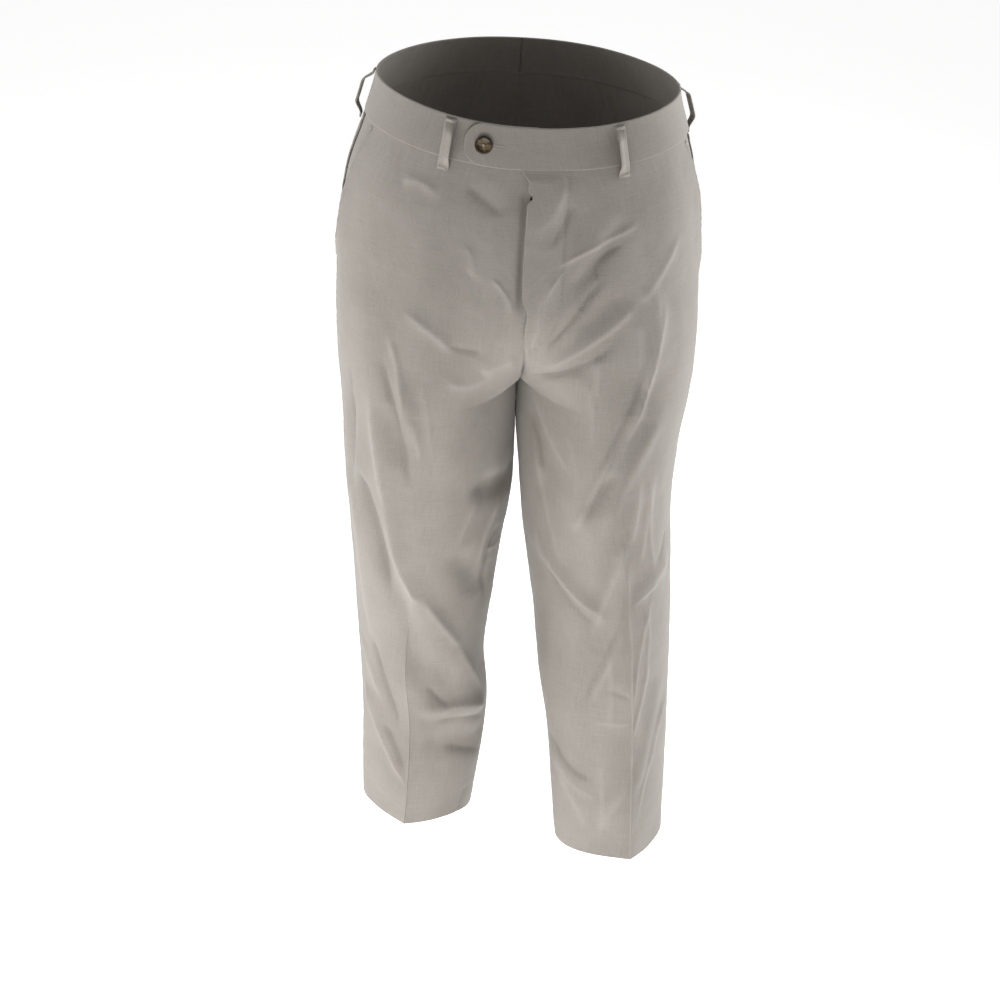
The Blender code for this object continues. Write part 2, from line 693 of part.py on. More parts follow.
def zip_frame():
    """The slider's frame: placed on the zip, and turned to the cloth in the middle of the pull's swing."""
    frame = cloth_frame("left", float(girth_at(PULL_SWING_X, PULL_SWING_T)), PULL_SWING_T, 0.0)
    frame.translation = Vector(cloth_point("left", girth_at(ZIP_X, SLIDER_T), SLIDER_T))
    return frame


def build_zip_slider():
    width, length = SLIDER_SIZE
    bm = rounded_plate(width, length, SLIDER_CORNER, SLIDER_BACK, SLIDER_FRONT)
    bmesh.ops.translate(bm, verts=bm.verts, vec=(0, length / 2 - SLIDER_CORNER, 0))
    slider = finish("zip_slider", bm, METAL_COLOUR, roughness=0.35, metallic=1.0)
    slider.matrix_world = zip_frame()
    return slider


def build_zip_pull():
    """The pull tab. Its origin is on the pin that it swings round, and it leans out past the lap."""
    bm = rounded_plate(PULL_WIDTH, PULL_LENGTH, PULL_CORNER, PULL_BACK, PULL_FRONT)
    pull = finish("zip_pull", bm, METAL_COLOUR, roughness=0.35, metallic=1.0)
    pull.matrix_world = zip_frame() @ Matrix.Rotation(math.radians(-PULL_LEAN), 4, "Z")
    return pull


def clear_scene():
    for obj in list(bpy.data.objects):
        bpy.data.objects.remove(obj)


def new_collection(name):
    made = bpy.data.collections.new(name)
    bpy.context.scene.collection.children.link(made)
    return made


clear_scene()
trousers = new_collection("dress_trousers")
cutters = new_collection("cutters")
for half in SIDE_SIGN:
    build_front(half)
    build_back(half)
    build_pocket_facing(half)
    build_waistband(half)
build_fly_shield()
build_zip_tape()
build_zip_slider()
build_zip_pull()
build_button()
for loop in LOOPS:
    build_belt_loop(loop)
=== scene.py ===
"""Looks of the dress trousers: linen-look cloth with its creases, seams and stitches, the tabbed
waistband with its horn button, belt loops, slanted pockets and the zip fly.

A point of the cloth is named by its girth g and its height t, as in the solids. The girth runs round
one half of the garment: 0 at the centre front and the inseam, 1 at the side seam, 2 at the centre back
and the inseam. The height is that of the same row at the side seam. Every size is in metres."""

from collections import namedtuple
import math

import bmesh
import bpy
from mathutils import Matrix, Vector, noise
import numpy as np


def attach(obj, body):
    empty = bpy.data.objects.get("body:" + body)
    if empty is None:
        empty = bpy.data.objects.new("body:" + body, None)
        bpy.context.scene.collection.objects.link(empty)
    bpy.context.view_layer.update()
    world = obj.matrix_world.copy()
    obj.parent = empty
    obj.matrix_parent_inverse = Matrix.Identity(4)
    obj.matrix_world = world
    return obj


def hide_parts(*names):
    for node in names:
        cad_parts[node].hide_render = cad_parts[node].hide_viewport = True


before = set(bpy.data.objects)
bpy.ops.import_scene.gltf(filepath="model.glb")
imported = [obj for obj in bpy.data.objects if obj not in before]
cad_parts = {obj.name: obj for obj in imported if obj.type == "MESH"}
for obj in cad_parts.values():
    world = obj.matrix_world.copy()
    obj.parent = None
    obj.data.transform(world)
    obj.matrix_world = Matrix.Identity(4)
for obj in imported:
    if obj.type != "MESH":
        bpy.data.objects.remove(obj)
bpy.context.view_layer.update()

# Cloth and seams
CLOTH = 0.0014
SEAM_GAP = 0.0003
BAND_LAP = 0.0008
SEAM_OVERLAP = 0.0004

# Waist and fork, as heights
BAND_HEIGHT = 0.042
BAND_CLOTH = 0.0024
BAND_RISE = 0.0006
PANEL_TOP = -BAND_HEIGHT + BAND_LAP
FRONT_DIP = -0.020
BACK_LIFT = 0.012
HIP_TILT = 0.05
LEVEL_TOP = -0.090
FORK_TOP = -0.200
FORK_SIDE = -0.335
CROTCH_Z = -0.330
HEM_SIDE = -0.975
HEM_TURN = 0.040
HEM_EASE = 0.002

# Rows of the body above the fork. front and back are depths from the centre of the waist ring, and
# sway is how far the row lies to the wearer's left.
BodyRow = namedtuple("BodyRow", "height half_width front back sway")
BODY = (
    BodyRow(0.010, 0.1555, 0.1070, 0.110, 0.007),
    BodyRow(0.000, 0.1570, 0.1080, 0.112, 0.006),
    BodyRow(-0.042, 0.1690, 0.1140, 0.122, 0.005),
    BodyRow(-0.100, 0.1870, 0.1205, 0.136, 0.002),
    BodyRow(-0.160, 0.1945, 0.1240, 0.143, 0.000),
    BodyRow(-0.220, 0.1990, 0.1250, 0.145, 0.000),
    BodyRow(-0.300, 0.2010, 0.1230, 0.139, 0.000),
    BodyRow(-0.340, 0.2010, 0.1210, 0.134, 0.000),
)
BODY_ROUNDNESS = 2.2

# Rows of a leg. outer and inner are distances from the middle plane, centre is the leg's Y, front and
# back are depths from it, crease is 0 for a round leg and 1 for a sharply pressed one, and turn is the
# outward twist in degrees.
LegRow = namedtuple("LegRow", "height outer inner centre front back crease turn")
LEGS = {
    "right": (
        LegRow(-0.200, 0.2015, 0.0000, 0.012, 0.126, 0.128, 0.00, 0),
        LegRow(-0.335, 0.2010, 0.0000, 0.012, 0.124, 0.118, 0.00, 0),
        LegRow(-0.400, 0.1985, 0.0004, 0.014, 0.117, 0.108, 0.04, 3),
        LegRow(-0.480, 0.1975, 0.0015, 0.017, 0.107, 0.098, 0.10, 8),
        LegRow(-0.560, 0.1935, 0.0125, 0.020, 0.099, 0.092, 0.20, 11),
        LegRow(-0.640, 0.1915, 0.0225, 0.022, 0.091, 0.087, 0.34, 13),
        LegRow(-0.720, 0.1900, 0.0310, 0.024, 0.084, 0.083, 0.50, 15),
        LegRow(-0.800, 0.1885, 0.0270, 0.026, 0.078, 0.079, 0.64, 15),
        LegRow(-0.880, 0.1895, 0.0330, 0.028, 0.073, 0.075, 0.78, 15),
        LegRow(-0.975, 0.1915, 0.0465, 0.030, 0.068, 0.072, 0.90, 15),
    ),
    "left": (
        LegRow(-0.200, 0.2015, 0.0000, 0.012, 0.126, 0.128, 0.00, 0),
        LegRow(-0.335, 0.2000, 0.0000, 0.010, 0.122, 0.118, 0.00, 0),
        LegRow(-0.400, 0.1900, 0.0006, 0.004, 0.117, 0.110, 0.04, 4),
        LegRow(-0.480, 0.1840, 0.0060, -0.004, 0.108, 0.102, 0.12, 9),
        LegRow(-0.560, 0.1890, 0.0135, -0.012, 0.099, 0.096, 0.26, 14),
        LegRow(-0.640, 0.1940, 0.0240, -0.018, 0.091, 0.090, 0.42, 17),
        LegRow(-0.720, 0.1980, 0.0300, -0.024, 0.084, 0.085, 0.56, 18),
        LegRow(-0.800, 0.1995, 0.0420, -0.029, 0.078, 0.080, 0.68, 18),
        LegRow(-0.880, 0.2010, 0.0490, -0.033, 0.073, 0.076, 0.80, 18),
        LegRow(-0.975, 0.2050, 0.0570, -0.036, 0.068, 0.072, 0.90, 18),
    ),
}
SIDE_SIGN = {"left": 1.0, "right": -1.0}

# How finely girths are searched and measured, and the heights where one is measured for small forms
GIRTH_SEARCH_END = 0.95
GIRTH_SEARCH_STEPS = 1901
HALF_GIRTH_STEPS = 25
PRESSED_MEASURE_T = -0.800
SEAM_MEASURE_T = -0.300
TACK_MEASURE_T = -0.200
FLY_MEASURE_T = -0.150
POCKET_MEASURE_T = -0.120

# Fly: the left front laps over the right one down to FLY_END, and its relief fades out by LAP_END. The
# lap's edge has a round corner at its top and a small notch, and the right front sinks a little beside it.
LAP_OVERLAP = 0.006
UNDER_LAP = 0.002
FLY_END = -0.215
LAP_END = -0.262
LAP_EASE = 0.020
LAP_RISE_EASE = 0.130
LAP_RISE = 0.0046
LAP_RISE_LOW = 0.0032
LAP_FLAT = 0.022
LAP_FADE = 0.050
LAP_TOP_EASE = 0.012
LAP_TOP_SHARE = 0.85
LAP_CORNER = 0.007
LAP_CORNER_HEIGHT = 0.013
LAP_NOTCH = 0.0052
LAP_NOTCH_T = -0.0702
LAP_NOTCH_HALF = 0.0042
FLY_GAP = 0.0018
FLY_GAP_TOP = -0.060
FLY_GAP_EASE = 0.014
FLY_GAP_PLACE = 0.0015
FLY_GAP_WIDTH = 0.0042
SHIELD_DEPTH = 0.0022
SHIELD_INNER = 0.012
SHIELD_OUTER = 0.034

# Zip
ZIP_X = 0.0100
ZIP_TAPE = (0.0026, 0.0200)
ZIP_TAPE_THICK = 0.0008
CHAIN_HALF = 0.0026
SLIDER_T = -0.054
SLIDER_LENGTH = 0.0110
SLIDER_CLEARANCE = 0.0009
SLIDER_BACK = -0.0014
TAPE_UNDER_LAP_END = 0.006
TOOTH_PITCH = 0.0016
TOOTH_STAND = 0.0003
TOOTH_THICK = 0.36
TOOTH_SHORT = 0.4

# Tab and button
TAB_REACH = 0.068
TAB_RISE = 0.0029
TAB_RAMP = (0.010, 0.045)
TAB_ROUND = 0.018
TAB_NOSE = 0.14
BUTTON_X = 0.051
BUTTON_DIAMETER = 0.018
BUTTON_THICK = 0.0032
BUTTON_HOLE = 0.0018
BUTTON_HOLE_SPACING = 0.0026
DRILL_LENGTH = 3 * BUTTON_THICK

# Belt loops. near and far are how far a loop's middle part stands off, at its edge of smaller girth and
# at the other one.
LOOP_WIDTH = 0.0110
LOOP_CLOTH = 0.0018
LOOP_TOP = -0.003
LOOP_BOTTOM = -0.054
LOOP_SEWN = 0.04
LOOP_RAMP = 0.26
LoopPlace = namedtuple("LoopPlace", "name side girth near far")
LOOPS = (
    LoopPlace("belt_loop_front_left", "left", 0.33, 0.0118, 0.0038),
    LoopPlace("belt_loop_side_left", "left", 1.06, 0.0122, 0.0106),
    LoopPlace("belt_loop_back_left", "left", 1.58, 0.0118, 0.0100),
    LoopPlace("belt_loop_back_centre", "left", 2.00, 0.0116, 0.0104),
    LoopPlace("belt_loop_back_right", "right", 1.58, 0.0120, 0.0098),
    LoopPlace("belt_loop_side_right", "right", 1.06, 0.0122, 0.0106),
    LoopPlace("belt_loop_front_right", "right", 0.33, 0.0114, 0.0036),
)

# Slanted pockets
POCKET_TOP_GIRTH = 0.80
POCKET_END = -0.200
POCKET_BOW = 0.85
POCKET_GAPE = 0.0035
POCKET_GAPE_GIRTH = 0.12
POCKET_GAPE_SKEW = 0.6
FACING_DEPTH = 0.0025
FACING_END = 0.010
FACING_UNDERLAP = 0.07

# Large folds of the front and back panels, as in the solids: a ridge has a positive depth. At each end
# a fold fades out over FOLD_FADE of its length.
Fold = namedtuple("Fold", "g_start t_start g_end t_end width depth")
FOLD_FADE = 0.25
FOLD_ROWS = {
    "right": (
        (0.83, -0.33, 0.86, -0.5, 0.011, -0.004),
        (0.72, -0.32, 0.56, -0.6, 0.015, 0.005),
        (0.6, -0.54, 0.07, -0.775, 0.017, 0.005),
        (0.8, -0.44, 0.6, -0.6, 0.018, -0.005),
        (0.64, -0.56, 0.3, -0.76, 0.02, -0.005),
        (0.62, -0.29, 0.55, -0.39, 0.011, 0.003),
        (0.66, -0.33, 0.59, -0.42, 0.011, -0.003),
        (0.32, -0.445, 0.02, -0.468, 0.016, -0.006),
        (0.34, -0.53, 0.12, -0.62, 0.016, -0.004),
        (0.44, -0.775, 0.0, -0.8, 0.014, 0.006),
        (0.38, -0.83, 0.0, -0.86, 0.022, -0.006),
        (0.86, -0.77, 0.58, -0.91, 0.011, 0.004),
        (1.96, -0.3, 1.5, -0.345, 0.015, -0.005),
        (1.94, -0.385, 1.48, -0.44, 0.015, -0.004),
        (1.9, -0.6, 1.42, -0.65, 0.015, -0.005),
        (1.8, -0.665, 1.3, -0.69, 0.014, 0.004),
        (1.2, -0.42, 1.34, -0.6, 0.016, 0.004),
        (1.7, -0.8, 1.3, -0.87, 0.014, -0.004),
    ),
    "left": (
        (0.62, -0.33, 0.33, -0.48, 0.012, -0.005),
        (0.7, -0.325, 0.4, -0.49, 0.012, 0.004),
        (0.56, -0.49, 0.24, -0.74, 0.012, 0.004),
        (0.48, -0.5, 0.18, -0.72, 0.014, -0.003),
        (0.06, -0.515, 0.38, -0.615, 0.012, 0.004),
        (0.54, -0.575, 0.8, -0.54, 0.012, 0.003),
        (0.76, -0.69, 0.58, -0.88, 0.012, 0.003),
        (0.34, -0.2, 0.3, -0.09, 0.011, -0.003),
        (0.18, -0.262, 0.56, -0.185, 0.013, -0.004),
        (0.1, -0.284, 0.44, -0.275, 0.01, -0.003),
        (0.62, -0.18, 0.65, -0.3, 0.011, 0.003),
        (1.96, -0.295, 1.46, -0.35, 0.015, -0.005),
        (1.92, -0.395, 1.52, -0.425, 0.015, -0.004),
        (1.88, -0.59, 1.36, -0.655, 0.016, -0.005),
        (1.74, -0.655, 1.34, -0.71, 0.014, 0.004),
        (1.16, -0.44, 1.3, -0.64, 0.016, 0.004),
        (1.66, -0.79, 1.24, -0.85, 0.014, -0.004),
    ),
}
FOLDS = {side: [Fold(*row) for row in rows] for side, rows in FOLD_ROWS.items()}

# Finer creases, as curves through three points of girth and height. width is that of the slope on the
# side-seam side of a crease that runs down, and skew is the other slope's share of it. They are judged
# one by one.
Crease = namedtuple("Crease", "start middle end width skew depth")
CREASE_ROWS = {
    "left": (
        # The fly and hip
        ((0.1, -0.052), (0.07, -0.078), (0.02, -0.115), 0.007, 0.8, 0.0016),
        ((0.13, -0.075), (0.095, -0.1), (0.07, -0.135), 0.006, 0.8, -0.0014),
        ((0.16, -0.158), (0.28, -0.13), (0.41, -0.106), 0.009, 0.6, 0.0018),
        ((0.2, -0.244), (0.34, -0.214), (0.415, -0.168), 0.005, 0.9, -0.0026),
        ((0.41, -0.178), (0.34, -0.151), (0.39, -0.128), 0.005, 0.9, -0.0016),
        ((0.1, -0.24), (0.17, -0.208), (0.22, -0.15), 0.007, 0.8, 0.0017),
        ((0.19, -0.268), (0.4, -0.244), (0.57, -0.198), 0.0075, 0.6, 0.0024),
        ((0.54, -0.208), (0.63, -0.176), (0.66, -0.13), 0.009, 0.7, 0.0018),
        ((0.12, -0.277), (0.34, -0.276), (0.5, -0.24), 0.005, 1.0, -0.0022),
        ((0.62, -0.186), (0.63, -0.232), (0.63, -0.272), 0.0032, 1.0, 0.0013),
        ((0.57, -0.222), (0.57, -0.251), (0.57, -0.282), 0.0034, 1.0, 0.0012),
        ((0.43, -0.258), (0.43, -0.287), (0.43, -0.314), 0.004, 1.0, 0.0012),
        # The thigh and knee
        ((0.16, -0.33), (0.24, -0.378), (0.33, -0.42), 0.008, 0.9, 0.0016),
        ((0.12, -0.36), (0.17, -0.398), (0.18, -0.43), 0.009, 0.9, -0.002),
        ((0.31, -0.365), (0.335, -0.392), (0.33, -0.425), 0.0045, 0.9, 0.0011),
        ((0.67, -0.205), (0.63, -0.26), (0.585, -0.315), 0.0048, 0.8, 0.0022),
        ((0.64, -0.25), (0.56, -0.351), (0.43, -0.43), 0.0044, 0.7, 0.0036),
        ((0.5, -0.38), (0.41, -0.43), (0.285, -0.494), 0.0042, 0.8, 0.0036),
        ((0.6, -0.28), (0.52, -0.352), (0.42, -0.41), 0.0048, 1.0, -0.0018),
        ((0.14, -0.38), (0.18, -0.466), (0.21, -0.546), 0.004, 0.9, 0.0015),
        ((0.39, -0.29), (0.42, -0.335), (0.4, -0.382), 0.0034, 1.0, 0.001),
        ((0.68, -0.405), (0.66, -0.475), (0.68, -0.56), 0.0036, 0.9, 0.0015),
        ((0.5, -0.404), (0.415, -0.44), (0.34, -0.48), 0.0045, 1.0, -0.0018),
        ((0.65, -0.4), (0.64, -0.472), (0.59, -0.53), 0.005, 1.0, 0.0014),
        ((0.6, -0.41), (0.58, -0.467), (0.545, -0.5), 0.0065, 0.8, 0.002),
        ((0.56, -0.484), (0.41, -0.559), (0.27, -0.642), 0.007, 0.7, 0.0022),
        ((0.08, -0.5), (0.18, -0.555), (0.35, -0.604), 0.0042, 1.0, 0.0019),
        ((0.12, -0.54), (0.2, -0.585), (0.33, -0.622), 0.006, 1.0, -0.0013),
        ((0.53, -0.588), (0.61, -0.572), (0.7, -0.566), 0.0036, 1.0, 0.0015),
        ((0.69, -0.54), (0.74, -0.524), (0.775, -0.5), 0.005, 1.0, -0.0015),
        # The shin
        ((0.68, -0.57), (0.58, -0.65), (0.52, -0.745), 0.0036, 0.9, 0.0014),
        ((0.8, -0.745), (0.7, -0.831), (0.6, -0.92), 0.0036, 0.9, 0.0015),
        ((0.61, -0.575), (0.64, -0.655), (0.59, -0.728), 0.0032, 1.0, 0.0011),
        ((0.28, -0.814), (0.29, -0.88), (0.26, -0.95), 0.005, 1.0, 0.001),
        ((0.34, -0.628), (0.36, -0.706), (0.32, -0.788), 0.0036, 1.0, 0.0009),
        ((0.43, -0.608), (0.32, -0.671), (0.23, -0.742), 0.0045, 0.9, -0.002),
        ((0.46, -0.612), (0.35, -0.671), (0.26, -0.742), 0.006, 0.9, 0.001),
        ((0.65, -0.67), (0.6, -0.726), (0.51, -0.78), 0.0046, 0.8, 0.0016),
        ((0.86, -0.75), (0.74, -0.785), (0.7, -0.85), 0.005, 0.8, 0.0018),
        ((0.01, -0.8), (0.12, -0.84), (0.26, -0.852), 0.008, 1.0, -0.0024),
        ((0.03, -0.83), (0.14, -0.866), (0.27, -0.876), 0.008, 1.0, 0.0012),
        ((0.46, -0.855), (0.34, -0.891), (0.29, -0.935), 0.007, 1.0, 0.0014),
        ((0.06, -0.855), (0.15, -0.892), (0.21, -0.935), 0.008, 1.0, 0.0014),
        ((0.25, -0.758), (0.35, -0.757), (0.48, -0.754), 0.003, 1.0, 0.0008),
        ((0.32, -0.706), (0.4, -0.712), (0.48, -0.716), 0.006, 1.0, -0.0009),
        # The hidden back: drag lines under the seat, breaks behind the knee and above the hem
        ((1.08, -0.16), (1.22, -0.205), (1.36, -0.262), 0.008, 0.8, 0.0015),
        ((1.7, -0.15), (1.52, -0.175), (1.37, -0.215), 0.009, 0.9, -0.0014),
        ((1.94, -0.31), (1.7, -0.35), (1.45, -0.372), 0.006, 0.8, 0.0024),
        ((1.93, -0.335), (1.72, -0.372), (1.5, -0.398), 0.006, 1.0, -0.0022),
        ((1.87, -0.39), (1.68, -0.425), (1.56, -0.47), 0.0055, 0.8, 0.0018),
        ((1.18, -0.34), (1.24, -0.42), (1.22, -0.5), 0.006, 0.9, 0.0017),
        ((1.9, -0.56), (1.64, -0.59), (1.34, -0.57), 0.006, 0.7, 0.0021),
        ((1.86, -0.585), (1.65, -0.612), (1.38, -0.6), 0.005, 1.0, -0.0021),
        ((1.8, -0.64), (1.56, -0.655), (1.3, -0.63), 0.006, 0.8, 0.0017),
        ((1.34, -0.7), (1.52, -0.735), (1.8, -0.728), 0.005, 0.9, -0.0016),
        ((1.76, -0.815), (1.56, -0.842), (1.32, -0.826), 0.006, 0.8, 0.0018),
        ((1.85, -0.88), (1.7, -0.905), (1.56, -0.94), 0.006, 1.0, -0.0014),
        # The back dart
        ((1.64, -0.03), (1.63, -0.085), (1.625, -0.14), 0.003, 1.0, -0.0009),
    ),
    "right": (
        # The belly and hip
        ((0.23, -0.064), (0.15, -0.078), (0.08, -0.096), 0.011, 1.0, -0.0014),
        ((0.5, -0.08), (0.41, -0.073), (0.31, -0.086), 0.007, 1.0, 0.0014),
        ((0.6, -0.222), (0.5, -0.242), (0.4, -0.266), 0.007, 0.9, 0.0017),
        ((0.46, -0.254), (0.39, -0.256), (0.31, -0.253), 0.0055, 1.0, -0.0014),
        ((0.25, -0.172), (0.22, -0.191), (0.17, -0.214), 0.005, 1.0, 0.0012),
        ((0.25, -0.134), (0.29, -0.156), (0.34, -0.174), 0.005, 1.0, 0.001),
        ((0.33, -0.282), (0.25, -0.266), (0.13, -0.25), 0.009, 1.0, 0.0018),
        ((0.47, -0.288), (0.36, -0.3), (0.22, -0.262), 0.009, 1.0, 0.0012),
        ((0.88, -0.105), (0.915, -0.15), (0.925, -0.2), 0.009, 1.0, 0.0012),
        # The thigh and knee
        ((0.645, -0.252), (0.61, -0.294), (0.595, -0.35), 0.004, 0.8, 0.0022),
        ((0.68, -0.272), (0.61, -0.362), (0.55, -0.446), 0.0055, 0.8, -0.0028),
        ((0.57, -0.345), (0.545, -0.372), (0.525, -0.406), 0.005, 0.9, 0.0015),
        ((0.725, -0.318), (0.685, -0.41), (0.625, -0.486), 0.0055, 0.8, 0.0023),
        ((0.64, -0.462), (0.57, -0.56), (0.4, -0.606), 0.008, 0.7, 0.0026),
        ((0.44, -0.592), (0.31, -0.647), (0.19, -0.695), 0.0075, 0.8, 0.0022),
        ((0.23, -0.68), (0.13, -0.734), (0.03, -0.79), 0.0065, 0.8, 0.0018),
        ((0.8, -0.44), (0.7, -0.51), (0.61, -0.625), 0.01, 0.9, -0.003),
        ((0.815, -0.3), (0.835, -0.391), (0.835, -0.47), 0.0034, 1.0, -0.0022),
        ((0.3, -0.44), (0.2, -0.47), (0.08, -0.462), 0.015, 1.0, -0.001),
        ((0.26, -0.462), (0.29, -0.494), (0.32, -0.532), 0.005, 1.0, 0.0012),
        ((0.12, -0.478), (0.18, -0.52), (0.18, -0.58), 0.0038, 1.0, 0.0018),
        ((0.09, -0.52), (0.14, -0.571), (0.08, -0.648), 0.006, 0.8, -0.002),
        ((0.04, -0.545), (0.1, -0.556), (0.17, -0.548), 0.0034, 1.0, 0.0012),
        ((0.86, -0.466), (0.79, -0.579), (0.74, -0.7), 0.007, 0.8, 0.0018),
        ((0.54, -0.292), (0.51, -0.346), (0.48, -0.404), 0.004, 1.0, 0.001),
        # The shin
        ((0.86, -0.7), (0.785, -0.74), (0.72, -0.788), 0.009, 0.8, 0.0018),
        ((0.745, -0.68), (0.68, -0.747), (0.61, -0.822), 0.0065, 0.9, -0.002),
        ((0.85, -0.77), (0.73, -0.846), (0.545, -0.914), 0.0042, 0.7, 0.0024),
        ((0.71, -0.82), (0.65, -0.85), (0.57, -0.892), 0.0045, 1.0, -0.002),
        ((0.32, -0.788), (0.2, -0.782), (0.0, -0.812), 0.008, 0.8, 0.0014),
        ((0.31, -0.808), (0.2, -0.803), (0.0, -0.83), 0.008, 1.0, -0.0015),
        ((0.35, -0.74), (0.3, -0.762), (0.25, -0.778), 0.006, 1.0, -0.0017),
        ((0.27, -0.846), (0.15, -0.864), (0.0, -0.884), 0.009, 1.0, -0.0018),
        ((0.09, -0.93), (0.115, -0.952), (0.13, -0.985), 0.008, 1.0, -0.0016),
        # The hidden back: drag lines under the seat, breaks behind the knee and above the hem
        ((1.08, -0.17), (1.23, -0.225), (1.38, -0.27), 0.008, 0.8, 0.0016),
        ((1.72, -0.14), (1.54, -0.168), (1.4, -0.206), 0.009, 0.9, -0.0012),
        ((1.93, -0.32), (1.68, -0.342), (1.46, -0.384), 0.006, 0.8, 0.0022),
        ((1.92, -0.345), (1.69, -0.366), (1.48, -0.408), 0.0055, 1.0, -0.0021),
        ((1.86, -0.412), (1.7, -0.436), (1.54, -0.486), 0.006, 0.8, 0.0017),
        ((1.22, -0.33), (1.27, -0.41), (1.24, -0.48), 0.006, 0.9, 0.0018),
        ((1.88, -0.572), (1.62, -0.58), (1.36, -0.556), 0.0055, 0.7, 0.0022),
        ((1.88, -0.598), (1.63, -0.605), (1.37, -0.584), 0.0055, 1.0, -0.0019),
        ((1.78, -0.652), (1.54, -0.64), (1.33, -0.612), 0.006, 0.8, 0.0016),
        ((1.38, -0.716), (1.56, -0.744), (1.78, -0.722), 0.005, 0.9, -0.0017),
        ((1.74, -0.8), (1.52, -0.834), (1.34, -0.84), 0.006, 0.8, 0.0017),
        ((1.82, -0.892), (1.66, -0.9), (1.52, -0.93), 0.006, 1.0, -0.0013),
        # The back dart
        ((1.64, -0.03), (1.63, -0.085), (1.625, -0.14), 0.003, 1.0, -0.0009),
    ),
}
CREASES = {side: [Crease(*row) for row in rows] for side, rows in CREASE_ROWS.items()}
CREASE_PARTS = 10
CREASE_REACH = 3.0
CREASE_GAIN = 1.3
CREST = 0.22
CREST_STEEPNESS = 1.65

# Pressed creases, front and back: the girth, the heights over which they come in, and their ridge
FRONT_CREASE = 0.5
BACK_CREASE = 1.5
Pressed = namedtuple("Pressed", "side girth top full height")
PRESSED = (
    Pressed("right", FRONT_CREASE, -0.600, -0.790, 0.0014),
    Pressed("left", FRONT_CREASE, -0.480, -0.600, 0.0019),
    Pressed("right", BACK_CREASE, -0.440, -0.640, 0.0011),
    Pressed("left", BACK_CREASE, -0.440, -0.640, 0.0011),
)
PRESSED_WIDTH = 0.0027

# The crumpled look of worn linen: how high, and how far apart
Crumple = namedtuple("Crumple", "height spacing stretch")
CRUMPLES = (
    Crumple(0.00150, 0.060, 1.8),
    Crumple(0.00060, 0.024, 1.5),
    Crumple(0.00025, 0.011, 1.2),
)
CRUMPLE_FADE = 0.030
BAND_CRUMPLE = 0.30

# Cloth beside a seam draws up in short waves, which drift in and out of step
PUCKER = 0.00022
PUCKER_REACH = 0.008
PUCKER_WAVE = 0.0125
PUCKER_DRIFT = 2.1
PUCKER_DRIFT_WAVE = 0.047

# How much lighter or darker the cloth is painted: painted highlight and shade on creases, grooves and gaps
TONE_HEIGHT = 0.0022
# Rims are rubbed lighter by wear, and the tab's nose gets a painted highlight with some wear
RUBBED_EDGE = 0.15
TAB_HIGHLIGHT_AND_WEAR = 0.0045
GROOVE_PAINTED_SHADE = 0.9
GAP_PAINTED_SHADE = 1.6

# Grid of a fine cloth wall: points this far apart, and closer ones at an edge
STEP = 0.0026
TAPE_STEP = 0.0015
BAND_STEP = 0.0025
LOOP_STEP_DOWN = 0.0011
LOOP_STEP_ACROSS = 0.0006
EDGE_STEPS = (0.0, 0.0003, 0.0007, 0.0013, 0.0022)
EDGE_ROUND = 0.46

# Widths by which columns are counted, and the left band's columns: round its nose and beyond
FRONT_GRID = 0.26
BACK_GRID = 0.28
FACING_GRID = 0.05
BAND_GRID = 0.43
NOSE_COLUMNS = 13
BAND_COLUMNS = 190

# Stitches: how long, how far apart, and the thread's radius. The rings of a stitch are places along it,
# sizes and heights, as shares of its length and its thread.
STITCH_LENGTH = 0.0021
STITCH_PITCH = 0.0030
THREAD = 0.00020
STITCH_RINGS = (
    (0.0, 0.35, -0.6),
    (0.18, 0.9, 0.35),
    (0.5, 1.0, 0.75),
    (0.82, 0.9, 0.35),
    (1.0, 0.35, -0.6),
)
STITCH_SIDES = 6
TACK_THREAD = 0.00024
TACK_COUNT = 9
TACK_SLANT = 0.4

# Lines of stitches. A span is the first and last share of a line and the points between them, and the
# ends of a tack are heights from its place.
FLY_STITCH_X = 0.0335
FLY_STITCH_TURN = -0.196
FLY_STITCH_END = -0.241
FLY_STITCH_STRAIGHT = 0.72
FLY_STITCH_SPAN = (0.01, 0.99, 160)
FLY_LINE_POINTS = 40
FLY_STEP = 0.0010
FLY_GROOVE = 0.0012
FLY_GROOVE_WIDTH = 0.0030
FLY_RELIEF_REACH = 4 * FLY_GROOVE_WIDTH
FLY_TACK_SHARE = 0.97
FLY_TACK_INNER = 0.2
FLY_TACK_ENDS = (0.004, 0.001)
POCKET_STITCH = 0.0062
POCKET_STITCH_TOP = PANEL_TOP - 0.002
POCKET_STITCH_END = POCKET_END + 0.006
POCKET_STITCH_POINTS = 150
POCKET_TACK = 0.0070
POCKET_TACK_INSET = 0.0008
POCKET_TACKS = {"top": PANEL_TOP - 0.007, "bottom": POCKET_END + 0.003}
POCKET_TACK_ENDS = (0.002, -0.001)
LOOP_STITCH = 0.0020
LOOP_STITCH_SPAN = (0.03, 0.97, 90)
LOOP_GROOVE = 0.0004
LOOP_GROOVE_WIDTH = 0.13
LOOP_TACK = (0.12, 0.88)
LOOP_TACK_RISE_AT = 0.2
LOOP_TACKS = {"top": LOOP_TOP - 0.0012, "bottom": LOOP_BOTTOM + 0.0036}
LOOP_TACK_HEIGHT = 0.0024

# Buttonhole
HOLE_START_X = -0.0510
HOLE_END_X = -0.0310
HOLE_HALF = 0.0007
HOLE_STITCH = 0.0016
HOLE_PITCH = 0.00055
HOLE_END_POINTS = 9
HOLE_THREAD = 1.15 * TACK_THREAD

